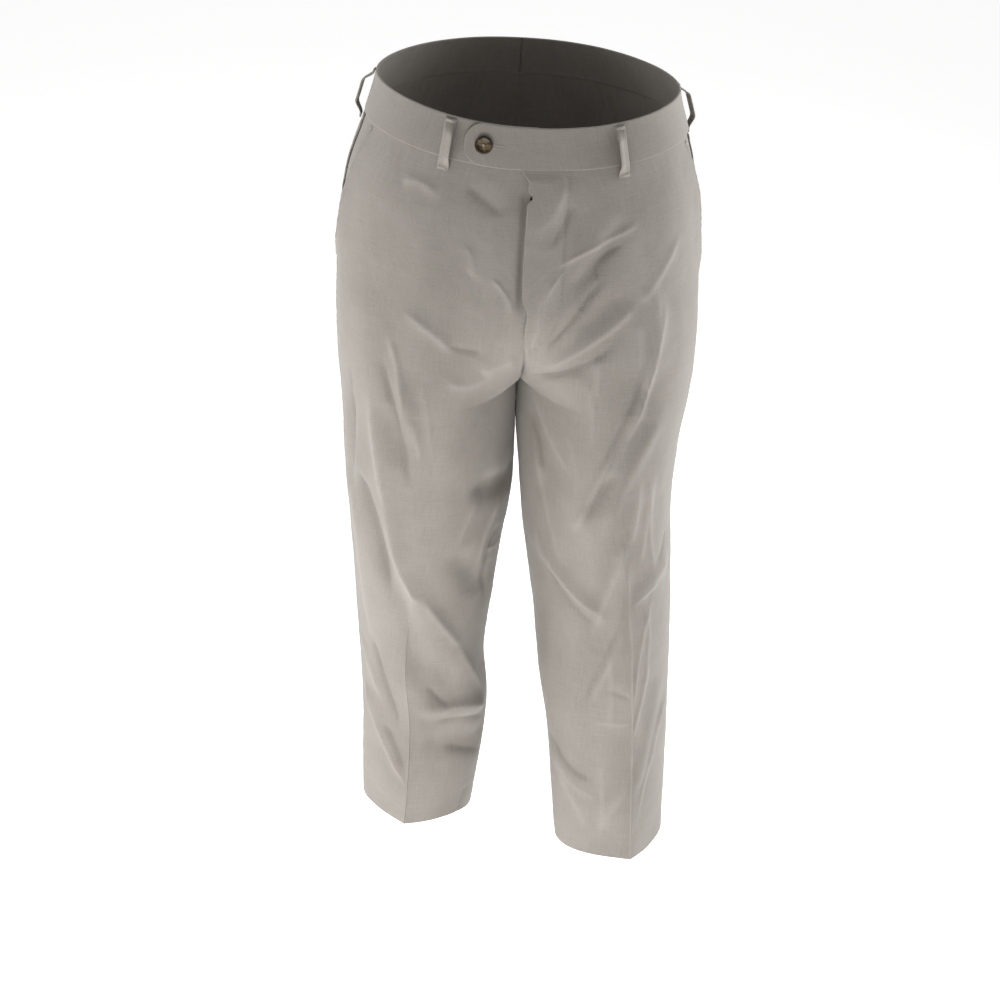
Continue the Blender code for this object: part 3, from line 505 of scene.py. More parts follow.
# Button, turned: distance from the middle and height, as shares of the radius and half the thickness
BUTTON_OUTLINE = (
    (0.00, 0.20),
    (0.40, 0.22),
    (0.58, 0.34),
    (0.68, 0.72),
    (0.78, 0.98),
    (0.88, 0.94),
    (0.96, 0.66),
    (1.00, 0.10),
    (0.97, -0.45),
    (0.86, -0.86),
    (0.70, -1.00),
    (0.00, -1.00),
)
BUTTON_STEPS = 64

# Thread through the button: its radius, its reach and height as shares of half the holes' spacing and of
# half the thickness, how far a strand lies beside the middle, and how much higher the upper bar lies
BUTTON_THREAD = 0.00038
BUTTON_THREAD_REACH = 1.05
BUTTON_THREAD_HEIGHT = 0.20
BUTTON_THREAD_SPREAD = 0.00022
BUTTON_THREAD_OVER = 0.0005

# Slider and pull
SLIDER_WIDTH = 0.0076
SLIDER_FRONT = 0.0010
SLIDER_PLATE = 0.0007
SLIDER_CORNER = 0.002
WEDGE_SHARE = 0.4
WEDGE_CORNER = 0.15
PULL_BACK = 0.0015
PULL_FRONT = 0.0024
PULL_LENGTH = 0.0240
PULL_WIDTH = 0.0046
PULL_CORNER = 0.0018
PULL_WINDOW = (0.0022, 0.0090, 0.0110)
PULL_WINDOW_ROUND = 0.99
PULL_LEAN = 38.0
PULL_SWING_X = 0.002
PULL_SWING_T = -0.062
PIN_RADIUS = 0.0006
PIN_TOP = 0.0027
CORNER_STEPS = 6
METAL_EDGE = 0.00018
METAL_EDGE_STEPS = 3
ROD_SIDES = 20

# Colours
CLOTH_LIGHT = (0.300, 0.276, 0.250)
CLOTH_DARK = (0.180, 0.161, 0.140)
THREAD_COLOUR = (0.37, 0.34, 0.30)
TAPE_LIGHT = (0.46, 0.42, 0.36)
TAPE_DARK = (0.33, 0.29, 0.24)
HORN_DARK = (0.020, 0.010, 0.005)
HORN_LIGHT = (0.23, 0.165, 0.075)
METAL_DARK = (0.035, 0.030, 0.026)
METAL_WORN = (0.20, 0.17, 0.13)
FLOOR_COLOUR = (0.92, 0.92, 0.91)

# Weave
WEAVE_PITCH = 0.00055
TAPE_PITCH = 0.00045
SLUB_WIDTH = 0.0011
SLUB_LENGTH = 0.028

# Looks of the materials. noises have a scale along each axis, in waves for each metre, and a detail.
# tone and roughness say what each part adds to a middle of a half. bump is a strength and a distance.
Look = namedtuple("Look", "noises tone roughness bump inputs")
CLOTH_LOOK = Look(
    noises={
        "warp": ((1 / SLUB_WIDTH, 1 / SLUB_LENGTH, 1), 2.0),
        "weft": ((1 / SLUB_LENGTH, 1 / SLUB_WIDTH, 1), 2.0),
        "fibre": ((420, 420, 1), 3.0),
        "patch": ((14, 9, 1), 3.0),
    },
    # The tone attribute's weight: painted highlight and shade, with rubbed wear at the rims
    tone={"warp": 0.70, "weft": 0.58, "fibre": 0.55, "patch": 0.60, "wear_and_painted_light": 0.40, "weave": 0.03},
    roughness={"fibre": 0.3, "warp": 0.2, "tone": 0.35},
    bump=(0.55, 0.00016),
    inputs={"Sheen Weight": 0.16, "Sheen Roughness": 0.45, "Specular IOR Level": 0.25},
)
CLOTH_HEIGHT = {"weave": 0.12, "warp": 0.8, "weft": 0.8}
THREAD_LOOK = Look(
    noises={"twist": ((2600, 2600, 2600), 2.0), "fleck": ((300, 300, 300), 2.0)},
    tone={"twist": 0.8, "fleck": 0.6},
    roughness={"fleck": 0.4},
    bump=(0.5, 0.00008),
    inputs={"Sheen Weight": 0.2},
)
THREAD_SHADE = 0.72
HORN_LOOK = Look(
    noises={"streaks": ((260, 700, 200), 4.0), "clouds": ((190, 160, 100), 2.0)},
    tone={"rim": -1.25, "streaks": 1.3, "clouds": 1.6},
    roughness={"streaks": 0.5, "rim": -0.15},
    bump=(0.25, 0.0001),
    inputs={"Specular IOR Level": 0.3},
)
HORN_LIFT = 0.45
METAL_LOOK = Look(
    noises={"wear": ((420, 420, 420), 4.0), "scratch": ((2500, 180, 900), 2.0)},
    tone={"wear": 2.2, "scratch": 0.8},
    roughness={"wear": 0.5, "scratch": 0.4},
    bump=(0.2, 0.00005),
    inputs={"Metallic": 0.9},
)
METAL_DROP = 0.35
FLOOR_NOISE = ((3, 3, 3), 2.0)
FLOOR_TONE = {"cloud": 0.2}
FLOOR_SHADE = 0.985
FLOOR_ROUGHNESS = 0.9

# Flat cut of what shows of each kind of piece, with the hem's turn-up: width, length and area
Cut = namedtuple("Cut", "width length area")

# Camera: where it stands, how far it looks down, how the picture is turned, and its lens
CAMERA_PLACE = (-0.1358, -1.7058, 0.482)
CAMERA_AZIMUTH = -4.0
CAMERA_DOWN = 30.0
CAMERA_ROLL = 1.0
CAMERA_LENS = 60.0
CAMERA_SENSOR = 36.0

# Floor: its height, and half its width
FLOOR_Z = -1.10
FLOOR_HALF = 12

# Light
FLOOR_GLOW = 0.72
WORLD_GLOW = 0.25
Lamp = namedtuple("Lamp", "name place target size power")
LAMPS = (
    Lamp("side_light_left", (-1.9, 0.35, 0.25), (0, 0, -0.45), (1.2, 2.4), 34),
    Lamp("side_light_right", (1.9, 0.35, 0.25), (0, 0, -0.45), (1.2, 2.4), 52),
    Lamp("front_light", (-0.5, -2.4, 1.7), (0, 0, -0.5), (0.9, 0.9), 3),
    Lamp("low_light", (-0.60, -1.10, -1.00), (0, 0, -0.85), (1.2, 0.2), 12),
)


def along(rows, column, height):
    """A column of a table read at any heights, on a smooth curve through its rows."""
    heights = np.array([-row.height for row in rows])
    values = np.array([getattr(row, column) for row in rows])
    slopes = np.gradient(values, heights)
    at = np.clip(-np.asarray(height, float), heights[0], heights[-1])
    low = np.clip(np.searchsorted(heights, at) - 1, 0, len(rows) - 2)
    step = heights[low + 1] - heights[low]
    s = (at - heights[low]) / step
    rise = values[low + 1] - values[low]
    start = slopes[low] * step
    end = slopes[low + 1] * step
    return values[low] + s * (start + s * (3 * rise - 2 * start - end + s * (start + end - 2 * rise)))


def smooth(x):
    x = np.clip(x, 0.0, 1.0)
    return x * x * (3 - 2 * x)


def signed_power(x, power):
    return np.sign(x) * np.abs(x) ** power


def body_angle(g, t):
    """The angle round the body's oval, from the front. Even steps of girth are even steps of angle at
    the waist, and lower down they keep to the X of the leg's ring below."""
    even = np.pi / 2 * g
    share = (1 - np.cos(np.pi * np.clip(np.abs(g), 0, 2))) / 2
    quarter = np.arcsin(share ** (BODY_ROUNDNESS / 2))
    over_leg = np.sign(g) * np.where(np.abs(g) < 1, quarter, np.pi - quarter)
    return even + (over_leg - even) * smooth((LEVEL_TOP - t) / (LEVEL_TOP - FORK_TOP))


def body_point(g, t):
    """The upper body's outline, as a rounded oval."""
    around = body_angle(g, t)
    power = 2 / BODY_ROUNDNESS
    depth = np.where(np.cos(around) > 0, along(BODY, "front", t), along(BODY, "back", t))
    x = along(BODY, "half_width", t) * signed_power(np.sin(around), power)
    y = -depth * signed_power(np.cos(around), power)
    return x, y


def leg_point(side, g, t):
    """A leg's ring, from an ellipse to a lens that is pointed where the creases are pressed."""
    rows = LEGS[side]
    around = np.radians(180 * g)
    outer = along(rows, "outer", t)
    inner = along(rows, "inner", t)
    depth = np.where(np.sin(around) > 0, along(rows, "front", t), along(rows, "back", t))
    across = -(outer - inner) / 2 * signed_power(np.cos(around), 1 + along(rows, "crease", t))
    forward = -depth * np.sin(around)
    turn = np.radians(along(rows, "turn", t))
    x = (outer + inner) / 2 + across * np.cos(turn) - forward * np.sin(turn)
    y = along(rows, "centre", t) + across * np.sin(turn) + forward * np.cos(turn)
    return x, y


def fork_angle(t):
    """How far round the fork curve this row is: 0 at its top, a right angle at the crotch."""
    return np.pi / 2 * np.clip((FORK_TOP - t) / (FORK_TOP - FORK_SIDE), 0, 1)


def leg_share(t):
    return 1 - np.cos(fork_angle(t))


def cloth_point(side, g, t):
    """A point of the cloth's plain outer face, before folds. The fork curve joins body and legs."""
    g, t = np.broadcast_arrays(np.asarray(g, float), np.asarray(t, float))
    down_leg = np.clip((FORK_SIDE - t) / (FORK_SIDE - HEM_SIDE), 0, None)
    centre_t = np.where(
        t > FORK_SIDE,
        np.maximum(t, FORK_TOP) - (FORK_TOP - CROTCH_Z) * np.sin(fork_angle(t)),
        CROTCH_Z + (HEM_SIDE - CROTCH_Z) * down_leg,
    )
    body_x, body_y = body_point(g, t)
    leg_x, leg_y = leg_point(side, g, t)
    x = SIDE_SIGN[side] * (body_x + (leg_x - body_x) * leg_share(t)) + along(BODY, "sway", t)
    y = body_y + (leg_y - body_y) * leg_share(t)
    outward = np.where(np.cos(np.pi * g) < 0, 1.0, np.sin(np.pi * g) ** 2)
    z = centre_t + (t - centre_t) * outward
    toward_middle = np.cos(np.pi / 2 * g)
    dip = np.where(toward_middle > 0, FRONT_DIP, BACK_LIFT) * toward_middle**2
    z = z + dip * smooth((t - FORK_TOP) / (PANEL_TOP - FORK_TOP)) - HIP_TILT * x
    return np.stack([x, y, z], axis=-1)


def outward_normal(side, g, t):
    step_g, step_t = 0.02, 0.004
    across = cloth_point(side, g + step_g, t) - cloth_point(side, g - step_g, t)
    upward = cloth_point(side, g, t + step_t) - cloth_point(side, g, t - step_t)
    normal = SIDE_SIGN[side] * np.cross(across, upward)
    return normal / np.linalg.norm(normal, axis=-1, keepdims=True)


def lifted(side, g, t, rise):
    """Points at a height over the plain outer face."""
    return cloth_point(side, g, t) + outward_normal(side, g, t) * np.asarray(rise)[..., None]


def girth_at(x, t):
    """The girth of a point of the body's front at this distance from the middle plane."""
    x, t = np.broadcast_arrays(np.asarray(x, float), np.asarray(t, float))
    steps = np.linspace(-GIRTH_SEARCH_END, GIRTH_SEARCH_END, GIRTH_SEARCH_STEPS)
    found = [np.interp(at, body_point(steps, height)[0], steps) for at, height in zip(x.flat, t.flat)]
    return np.array(found).reshape(x.shape)


def half_girth(side, t):
    """Cloth from the centre edge to the side seam, for one unit of girth."""
    steps = np.linspace(0, 1, HALF_GIRTH_STEPS)
    return np.linalg.norm(np.diff(cloth_point(side, steps, t), axis=0), axis=1).sum()


def fold_rise(side, g, t):
    """What the large folds add, each a soft ridge or trough that fades out at its ends."""
    rise = np.zeros(np.broadcast(g, t).shape)
    for fold in FOLDS[side]:
        share, gap, beyond = from_fold(side, fold, g, t)
        fade = smooth(share / FOLD_FADE) * smooth((1 - share) / FOLD_FADE)
        rise = rise + fold.depth * fade * np.exp(-(np.hypot(gap, beyond) / fold.width) ** 2)
    return rise


def from_fold(side, fold, g, t):
    """Where points lie along a fold, from 0 to 1, how far beside it, and how far past its ends."""
    reach = half_girth(side, (fold.t_start + fold.t_end) / 2)
    run = np.array([(fold.g_end - fold.g_start) * reach, fold.t_end - fold.t_start])
    length = np.hypot(*run)
    offset = np.stack(np.broadcast_arrays((g - fold.g_start) * reach, t - fold.t_start), -1)
    whole = offset @ run / length**2
    share = np.clip(whole, 0, 1)
    gap = (offset[..., 1] * run[0] - offset[..., 0] * run[1]) / length
    return share, gap, (whole - share) * length


def crease_points(crease, reach):
    """The crease's curve, in metres across and up, as a run of points through its three."""
    start, middle, end = (np.array((at[0] * reach, at[1])) for at in crease[:3])
    share = np.linspace(0, 1, CREASE_PARTS + 1)[:, None]
    pull = 2 * middle - (start + end) / 2
    return start * (1 - share) ** 2 + pull * 2 * share * (1 - share) + end * share**2


def crease_rise(side, g, t):
    """What the finer creases add. Each is steeper on one side, and fades out at its ends."""
    g, t = np.broadcast_arrays(np.asarray(g, float), np.asarray(t, float))
    rise = np.zeros(g.shape)
    for crease in CREASES[side]:
        reach = half_girth(side, crease.middle[1])
        line = crease_points(crease, reach)
        margin = CREASE_REACH * crease.width
        low, high = line.min(axis=0) - margin, line.max(axis=0) + margin
        near = (g * reach > low[0]) & (g * reach < high[0]) & (t > low[1]) & (t < high[1])
        if near.any():
            rise[near] += one_crease(crease, line, g[near] * reach, t[near])
    return rise


def one_crease(crease, line, across, up):
    """One crease's height at points near it."""
    best = np.full(across.shape, np.inf)
    gap = np.zeros(across.shape)
    share = np.zeros(across.shape)
    for i, (first, last) in enumerate(zip(line, line[1:])):
        run = last - first
        length = np.hypot(*run)
        along_run = ((across - first[0]) * run[0] + (up - first[1]) * run[1]) / length**2
        at = np.clip(along_run, 0, 1)
        off = np.hypot(across - first[0] - at * run[0], up - first[1] - at * run[1])
        beside = (up - first[1]) * run[0] - (across - first[0]) * run[1]
        closer = off < best
        best = np.where(closer, off, best)
        gap = np.where(closer, beside, gap)
        share = np.where(closer, (i + at) / CREASE_PARTS, share)
    width = np.where(gap > 0, crease.width, crease.width * crease.skew)
    fade = smooth(share / FOLD_FADE) * smooth((1 - share) / FOLD_FADE)
    soft = CREST * width
    slope = np.exp((soft - np.hypot(best, soft)) * CREST_STEEPNESS / width)
    return CREASE_GAIN * crease.depth * fade * slope


def pressed_rise(side, g, t):
    """The sharp ridge of the pressed creases."""
    rise = 0.0
    for pressed in PRESSED:
        if pressed.side == side:
            gap = np.abs(g - pressed.girth) * half_girth(side, PRESSED_MEASURE_T)
            come_in = smooth((pressed.top - t) / (pressed.top - pressed.full))
            rise = rise + pressed.height * come_in * np.exp(-gap / PRESSED_WIDTH)
    return rise


def crumple_rise(side, g, t, scale=1.0):
    """Low, uneven waves over the whole cloth."""
    places = cloth_point(side, g, t)
    rise = np.zeros(places.shape[:2])
    for crumple in CRUMPLES:
        spread = places / crumple.spacing
        spread[..., 2] /= crumple.stretch
        values = [noise.noise(Vector(at)) for at in spread.reshape(-1, 3)]
        rise = rise + crumple.height * np.array(values).reshape(rise.shape)
    return scale * rise


def pucker_rise(distance, t):
    """Short waves beside a seam at this distance."""
    drift = PUCKER_DRIFT * np.sin(2 * np.pi * t / PUCKER_DRIFT_WAVE)
    wave = np.sin(2 * np.pi * t / PUCKER_WAVE + drift)
    return PUCKER * wave * np.exp(-distance / PUCKER_REACH)


def lap_overlap(t):
    """1 where the fly laps over, 0 below its end."""
    return smooth((t - FLY_END) / LAP_EASE)


def front_edge(side, t):
    """The girth of a front panel's centre edge: the left laps over the right."""
    reach = np.full(np.shape(t), UNDER_LAP)
    if side == "left":
        corner = LAP_CORNER * smooth((t - PANEL_TOP + LAP_CORNER_HEIGHT) / LAP_CORNER_HEIGHT)
        notch = LAP_NOTCH * np.exp(-(((t - LAP_NOTCH_T) / LAP_NOTCH_HALF) ** 2))
        reach = LAP_OVERLAP + corner - notch
    return girth_at(-reach, t) * lap_overlap(t)


def tab_lift(x):
    """How far the left band lifts towards its tab, over the right one."""
    lift_start, lift_end = TAB_RAMP
    return TAB_RISE * smooth((lift_end - x) / (lift_end - lift_start))


def lap_rise(g, t):
    """How far the left front stands off over the zip."""
    along_edge = LAP_RISE_LOW + (LAP_RISE - LAP_RISE_LOW) * smooth((t - FLY_END) / LAP_RISE_EASE)
    fade_down = smooth((t - LAP_END) / (FLY_END - LAP_END))
    x = body_point(g, t)[0]
    rise = along_edge * fade_down * smooth((LAP_FADE - x - LAP_OVERLAP) / (LAP_FADE - LAP_FLAT))
    under_band = smooth((t - PANEL_TOP + LAP_TOP_EASE) / LAP_TOP_EASE)
    return rise + (LAP_TOP_SHARE * tab_lift(x) - rise) * under_band


def fly_gap(g, t):
    """1 on the right front beside the lap's edge, where the fly stands a little open: the cloth sinks
    there, and is painted darker as the gap's painted shade.
    """
    x = body_point(g, t)[0]
    down = smooth((FLY_GAP_TOP - t) / FLY_GAP_EASE) * lap_overlap(t)
    return down * np.exp(-(((x - LAP_OVERLAP - FLY_GAP_PLACE) / FLY_GAP_WIDTH) ** 2))


def pocket_edge(t):
    """The girth of a front panel's side edge: the slanted mouth, then the side seam."""
    share = np.clip((t - POCKET_END) / (PANEL_TOP - POCKET_END), 0, 1)
    return 1 - (1 - POCKET_TOP_GIRTH) * share**POCKET_BOW


def pocket_gape(g, t):
    """The mouth of the pocket stands a little open."""
    share = np.clip((t - POCKET_END) / (PANEL_TOP - POCKET_END), 0, 1)
    from_edge = (pocket_edge(t) - g) / POCKET_GAPE_GIRTH
    return POCKET_GAPE * np.sin(np.pi * share**POCKET_GAPE_SKEW) * smooth(1 - from_edge)


# Fine walls


def edge_to_edge(length, step=STEP):
    """Distances from one edge to the other, even but for the closer ones at both edges."""
    margin = EDGE_STEPS[-1]
    count = max(2, round((length - 2 * margin) / step))
    middle = np.linspace(margin, length - margin, count + 1)[1:-1]
    return np.concatenate([EDGE_STEPS, middle, length - np.array(EDGE_STEPS[::-1])])


def lengths(points, axis):
    """Distances run along a grid of points, from its first row or column."""
    steps = np.linalg.norm(np.diff(points, axis=axis), axis=-1)
    start = np.zeros_like(np.take(steps, [0], axis=axis))
    return np.cumsum(np.concatenate([start, steps], axis=axis), axis=axis)


def rim_drop(points, thickness):
    """How far each face of a wall draws in near the grid's edges, so that the rim is round."""
    across, down = lengths(points, 1), lengths(points, 0)
    gap = np.minimum.reduce([across, across[:, -1:] - across, down, down[-1:] - down])
    near = np.clip(1 - gap / (EDGE_ROUND * thickness), 0, 1)
    return EDGE_ROUND * thickness * (1 - np.sqrt(1 - near**2))


def wall(name, side, g, t, rise, thickness, material_used, warp=None, tone=None, seam=None):
    """A sheet of cloth as a closed wall on the grid, its outer face at this rise. A seam is a column and
    the rows of it that are sewn to the other half, at the middle plane."""
    g, t, rise = np.broadcast_arrays(g, t, rise)
    plain = cloth_point(side, g, t)
    drop = rim_drop(plain, float(np.min(thickness)))
    outer = lifted(side, g, t, rise - drop)
    inner = lifted(side, g, t, rise - thickness + drop)
    if seam is not None:
        column, rows = seam
        middle = along(BODY, "sway", t[rows, column]) - SIDE_SIGN[side] * SEAM_OVERLAP
        outer[rows, column, 0] = middle
        inner[rows, column, 0] = middle
    warp_at = g.shape[1] // 2 if warp is None else int(np.argmin(np.abs(g[-1] - warp)))
    across, down = lengths(plain, 1), lengths(plain, 0)
    grain = np.stack(np.broadcast_arrays(across - across[:, [warp_at]], -down[:, [warp_at]]), -1)
    made = grid_mesh(name, outer, inner, grain, side == "right", material_used)
    shade = np.zeros(g.shape) if tone is None else np.broadcast_to(tone, g.shape)
    # Rims are rubbed lighter by wear, on top of the painted highlight and shade that tone carries
    wear_and_painted_light = np.where(drop > 0, np.maximum(RUBBED_EDGE, shade), shade)
    both = np.concatenate([wear_and_painted_light.ravel(), np.zeros(g.size)])
    made.data.attributes.new("tone", "FLOAT", "POINT").data.foreach_set("value", both)
    return made


def link_object(name, data):
    made = bpy.data.objects.new(name, data)
    bpy.context.scene.collection.objects.link(made)
    return made


def mesh_of(bm, name):
    """A mesh from a bmesh, which is freed."""
    mesh = bpy.data.meshes.new(name)
    bm.to_mesh(mesh)
    bm.free()
    return mesh


def grid_mesh(name, outer, inner, grain, turned, material_used):
    """Two grids of points joined round their rims, with the cloth's own coordinates as a map."""
    rows, columns = outer.shape[:2]
    index = np.arange(rows * columns).reshape(rows, columns)
    back = index + rows * columns
    ring = np.concatenate([index[0, :-1], index[:-1, -1], index[-1, :0:-1], index[:0:-1, 0]])
    after = np.roll(ring, -1)
    faces = np.concatenate(
        [
            np.stack([index[:-1, :-1], index[1:, :-1], index[1:, 1:], index[:-1, 1:]], -1).reshape(-1, 4),
            np.stack([back[:-1, :-1], back[:-1, 1:], back[1:, 1:], back[1:, :-1]], -1).reshape(-1, 4),
            np.stack([ring, after, after + rows * columns, ring + rows * columns], -1),
        ]
    )
    if turned:
        faces = faces[:, ::-1]
    points = np.concatenate([outer.reshape(-1, 3), inner.reshape(-1, 3)])
    mesh = bpy.data.meshes.new(name)
    mesh.from_pydata(points.tolist(), [], faces.tolist())
    both = np.concatenate([grain.reshape(-1, 2)] * 2)
    mesh.uv_layers.new(name="cloth").uv.foreach_set("vector", both[faces.reshape(-1)].ravel())
    mesh.shade_smooth()
    mesh.materials.append(material_used)
    return link_object(name, mesh)


def dress(obj, node, body="trousers"):
    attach(obj, body)
    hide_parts(node)
    return obj


# Cloth pieces


def panel_heights():
    return (PANEL_TOP - edge_to_edge(PANEL_TOP - HEM_SIDE))[:, None]


def panel_girths(first, last, width):
    share = (edge_to_edge(width) / width)[None, :]
    return first + (last - first) * share


def hem_thickness(t):
    """The cloth is turned up inside at the hem."""
    return CLOTH * (1 + smooth((HEM_SIDE + HEM_TURN - t) / HEM_EASE))


def fine_rise(side, g, t):
    """Creases and crumples, which die out under the waistband."""
    below_band = smooth((PANEL_TOP - t) / CRUMPLE_FADE)
    return (crease_rise(side, g, t) + crumple_rise(side, g, t)) * below_band


def seam_pucker(side, t, edge_gaps):
    reach = half_girth(side, SEAM_MEASURE_T)
    return sum(pucker_rise(np.abs(gap) * reach, t) for gap in edge_gaps)


def crease_painted_shading(fine):
    """Ridges are painted a little lighter, a painted highlight with some rubbed wear, and hollows darker,
    a painted shade.
    """
    return np.clip(fine / TONE_HEIGHT, -1, 1)


def fly_stitch_line(share):
    """The fly's curved line of stitches, from the band to the lap's edge, as girth and height."""
    turn = np.clip((share - FLY_STITCH_STRAIGHT) / (1 - FLY_STITCH_STRAIGHT), 0, 1) * np.pi / 2
    down = np.clip(share / FLY_STITCH_STRAIGHT, 0, 1)
    straight = PANEL_TOP + (FLY_STITCH_TURN - PANEL_TOP) * down
    t = straight + (FLY_STITCH_END - FLY_STITCH_TURN) * np.sin(turn)
    x = -LAP_OVERLAP + (FLY_STITCH_X + LAP_OVERLAP) * np.cos(turn)
    return girth_at(x, t), t


def beyond_fly_line(g, t):
    """How far points lie beyond the fly's line of stitches: negative on the lap."""
    line_g, line_t = fly_stitch_line(np.linspace(0, 1, FLY_LINE_POINTS))
    reach = half_girth("left", FLY_MEASURE_T)
    line = np.stack([line_g * reach, line_t], -1)
    run = np.gradient(line, axis=0)
    points = np.stack(np.broadcast_arrays(np.asarray(g) * reach, t), -1)
    nearest = np.linalg.norm(points[..., None, :] - line, axis=-1).argmin(axis=-1)
    offset = points - line[nearest]
    outside = run[nearest][..., 0] * offset[..., 1] - run[nearest][..., 1] * offset[..., 0]
    return np.sign(outside) * np.linalg.norm(offset, axis=-1)


def fly_relief(g, t):
    """The lap is thicker as far as its stitches, which draw the cloth in along their line."""
    off = beyond_fly_line(g, t)
    step = smooth((FLY_GROOVE_WIDTH - off) / (2 * FLY_GROOVE_WIDTH))
    return FLY_STEP * step - FLY_GROOVE * np.exp(-((off / FLY_GROOVE_WIDTH) ** 2))


def front_rise(side, g, t, fine):
    rise = fold_rise(side, g, t) + pocket_gape(g, t) + fine + pressed_rise(side, g, t)
    rise = rise + seam_pucker(side, t, (g - pocket_edge(t),))
    if side == "left":
        return rise + lap_rise(g, t)
    return rise - FLY_GAP * fly_gap(g, t)


def build_front(side, cloth):
    t = panel_heights()
    first = front_edge(side, t)
    g = panel_girths(first, pocket_edge(t), FRONT_GRID)
    fine = fine_rise(side, g, t)
    rise = front_rise(side, g, t, fine)
    # Ridges of the creases and the pressed crease are painted lighter, a painted highlight with some wear,
    # and hollows darker, a painted shade
    tone = crease_painted_shading(fine + pressed_rise(side, g, t))
    if side == "left":
        on_fly = t[:, 0] > FLY_STITCH_END - FLY_RELIEF_REACH
        relief = fly_relief(g[on_fly], np.broadcast_to(t, g.shape)[on_fly])
        rise[on_fly] += relief
        # The fly's groove is painted darker, a painted shade along the stitches
        tone[on_fly] += np.minimum(relief, 0) * GROOVE_PAINTED_SHADE / FLY_GROOVE
    else:
        # Beside the lap's edge the right front is painted darker, a painted shade of the fly's gap
        tone -= GAP_PAINTED_SHADE * fly_gap(g, t)
    seam = (0, (t[:, 0] < FLY_END) & (t[:, 0] > FORK_SIDE))
    name = "cloth_front_" + side
    piece = wall(name, side, g, t, rise, hem_thickness(t), cloth, FRONT_CREASE, tone, seam)
    return dress(piece, "front_" + side)


def build_back(side, cloth):
    t = panel_heights()
    g = panel_girths(np.ones(t.shape), np.full(t.shape, 2.0), BACK_GRID)
    fine = fine_rise(side, g, t)
    rise = fold_rise(side, g, t) + fine + pressed_rise(side, g, t)
    rise = rise + seam_pucker(side, t, (g - 1, 2 - g))
    seam = (-1, t[:, 0] > FORK_SIDE)
    name = "cloth_back_" + side
    # The creases are painted lighter on ridges and darker in hollows: painted highlight with some wear,
    # and painted shade
    piece = wall(name, side, g, t, rise, hem_thickness(t), cloth, BACK_CREASE, crease_painted_shading(fine), seam)
    return dress(piece, "back_" + side)


def build_pocket_facing(side, cloth):
    height = PANEL_TOP - POCKET_END - FACING_END
    t = (PANEL_TOP - edge_to_edge(height))[:, None]
    start = pocket_edge(t) - FACING_UNDERLAP
    g = panel_girths(start, 1, FACING_GRID)
    piece = wall("cloth_pocket_facing_" + side, side, g, t, -FACING_DEPTH, CLOTH, cloth)
    return dress(piece, "pocket_facing_" + side)


def build_fly_shield(cloth):
    t = (PANEL_TOP - edge_to_edge(PANEL_TOP - FLY_END))[:, None]
    x = (edge_to_edge(SHIELD_OUTER + SHIELD_INNER) - SHIELD_OUTER)[None, :]
    piece = wall("cloth_fly_shield", "right", girth_at(x, t), t, -SHIELD_DEPTH, CLOTH, cloth)
    return dress(piece, "fly_shield")


def build_zip_tape(tape):
    start = SLIDER_T - SLIDER_LENGTH / 2 - SLIDER_CLEARANCE
    length = start - FLY_END - TAPE_UNDER_LAP_END
    t = (start - edge_to_edge(length))[:, None]
    x = (edge_to_edge(ZIP_TAPE[1] - ZIP_TAPE[0], TAPE_STEP) + ZIP_TAPE[0])[None, :]
    rise = SLIDER_BACK + ZIP_TAPE_THICK
    piece = wall("zip_tape_woven", "left", girth_at(x, t), t, rise, ZIP_TAPE_THICK, tape)
    return dress(piece, "zip_tape")


def band_rise(side, x):
    return BAND_RISE + (tab_lift(x) if side == "left" else 0.0)


def band_girths(tab):
    """Girths of a band's columns. They are closer round the tab's nose."""
    start = float(girth_at(-TAB_REACH if tab else -UNDER_LAP, 0.0))
    if not tab:
        return panel_girths(start, 2.0, BAND_GRID)
    nose_end = float(girth_at(TAB_ROUND - TAB_REACH, 0.0))
    turn = np.linspace(0, np.pi / 2, NOSE_COLUMNS + 1)[:-1]
    nose = start + (nose_end - start) * (1 - np.cos(turn))
    return np.concatenate([nose, np.linspace(nose_end, 2.0, BAND_COLUMNS)])[None, :]


def build_waistband(side, cloth):
    tab = side == "left"
    g = band_girths(tab)
    share = 1 - (edge_to_edge(BAND_HEIGHT, BAND_STEP) / BAND_HEIGHT)[:, None]
    x = body_point(np.minimum(g, 1), 0.0)[0]
    nose = np.clip((x + TAB_REACH) / TAB_ROUND, 0.0, 1) if tab else np.ones(g.shape)
    round_end = np.sqrt(np.clip(1 - (1 - nose) ** 2, TAB_NOSE**2, 1))
    t = -BAND_HEIGHT / 2 + BAND_HEIGHT * (share - 0.5) * round_end
    g = np.broadcast_to(g, t.shape)
    rise = band_rise(side, x) + crumple_rise(side, g, t, BAND_CRUMPLE)
    # The tab's nose is painted lighter, a painted highlight on its rim with some rubbed wear
    tone = smooth((TAB_HIGHLIGHT_AND_WEAR - TAB_REACH - x) / TAB_HIGHLIGHT_AND_WEAR) if tab else None
    piece = wall("cloth_waistband_" + side, side, g, t, rise, BAND_CLOTH, cloth, tone=tone)
    return dress(piece, "waistband_" + side)


def loop_stand(share):
    """How far a loop stands off along its length: flat at its sewn ends."""
    return smooth((np.minimum(share, 1 - share) - LOOP_SEWN) / LOOP_RAMP)


def loop_rise(place, share_down, share_across):
    """A loop's outer face over the plain cloth, with a shallow groove along its middle."""
    stand = place.near + (place.far - place.near) * share_across
    base = BAND_RISE + SEAM_GAP + LOOP_CLOTH
    groove = LOOP_GROOVE * np.exp(-(((share_across - 0.5) / LOOP_GROOVE_WIDTH) ** 2))
    return base + (stand - base) * loop_stand(share_down) - groove * loop_stand(share_down)


def loop_girth(place, share_across):
    half = LOOP_WIDTH / 2 / half_girth(place.side, 0.0)
    return place.girth + (2 * share_across - 1) * half


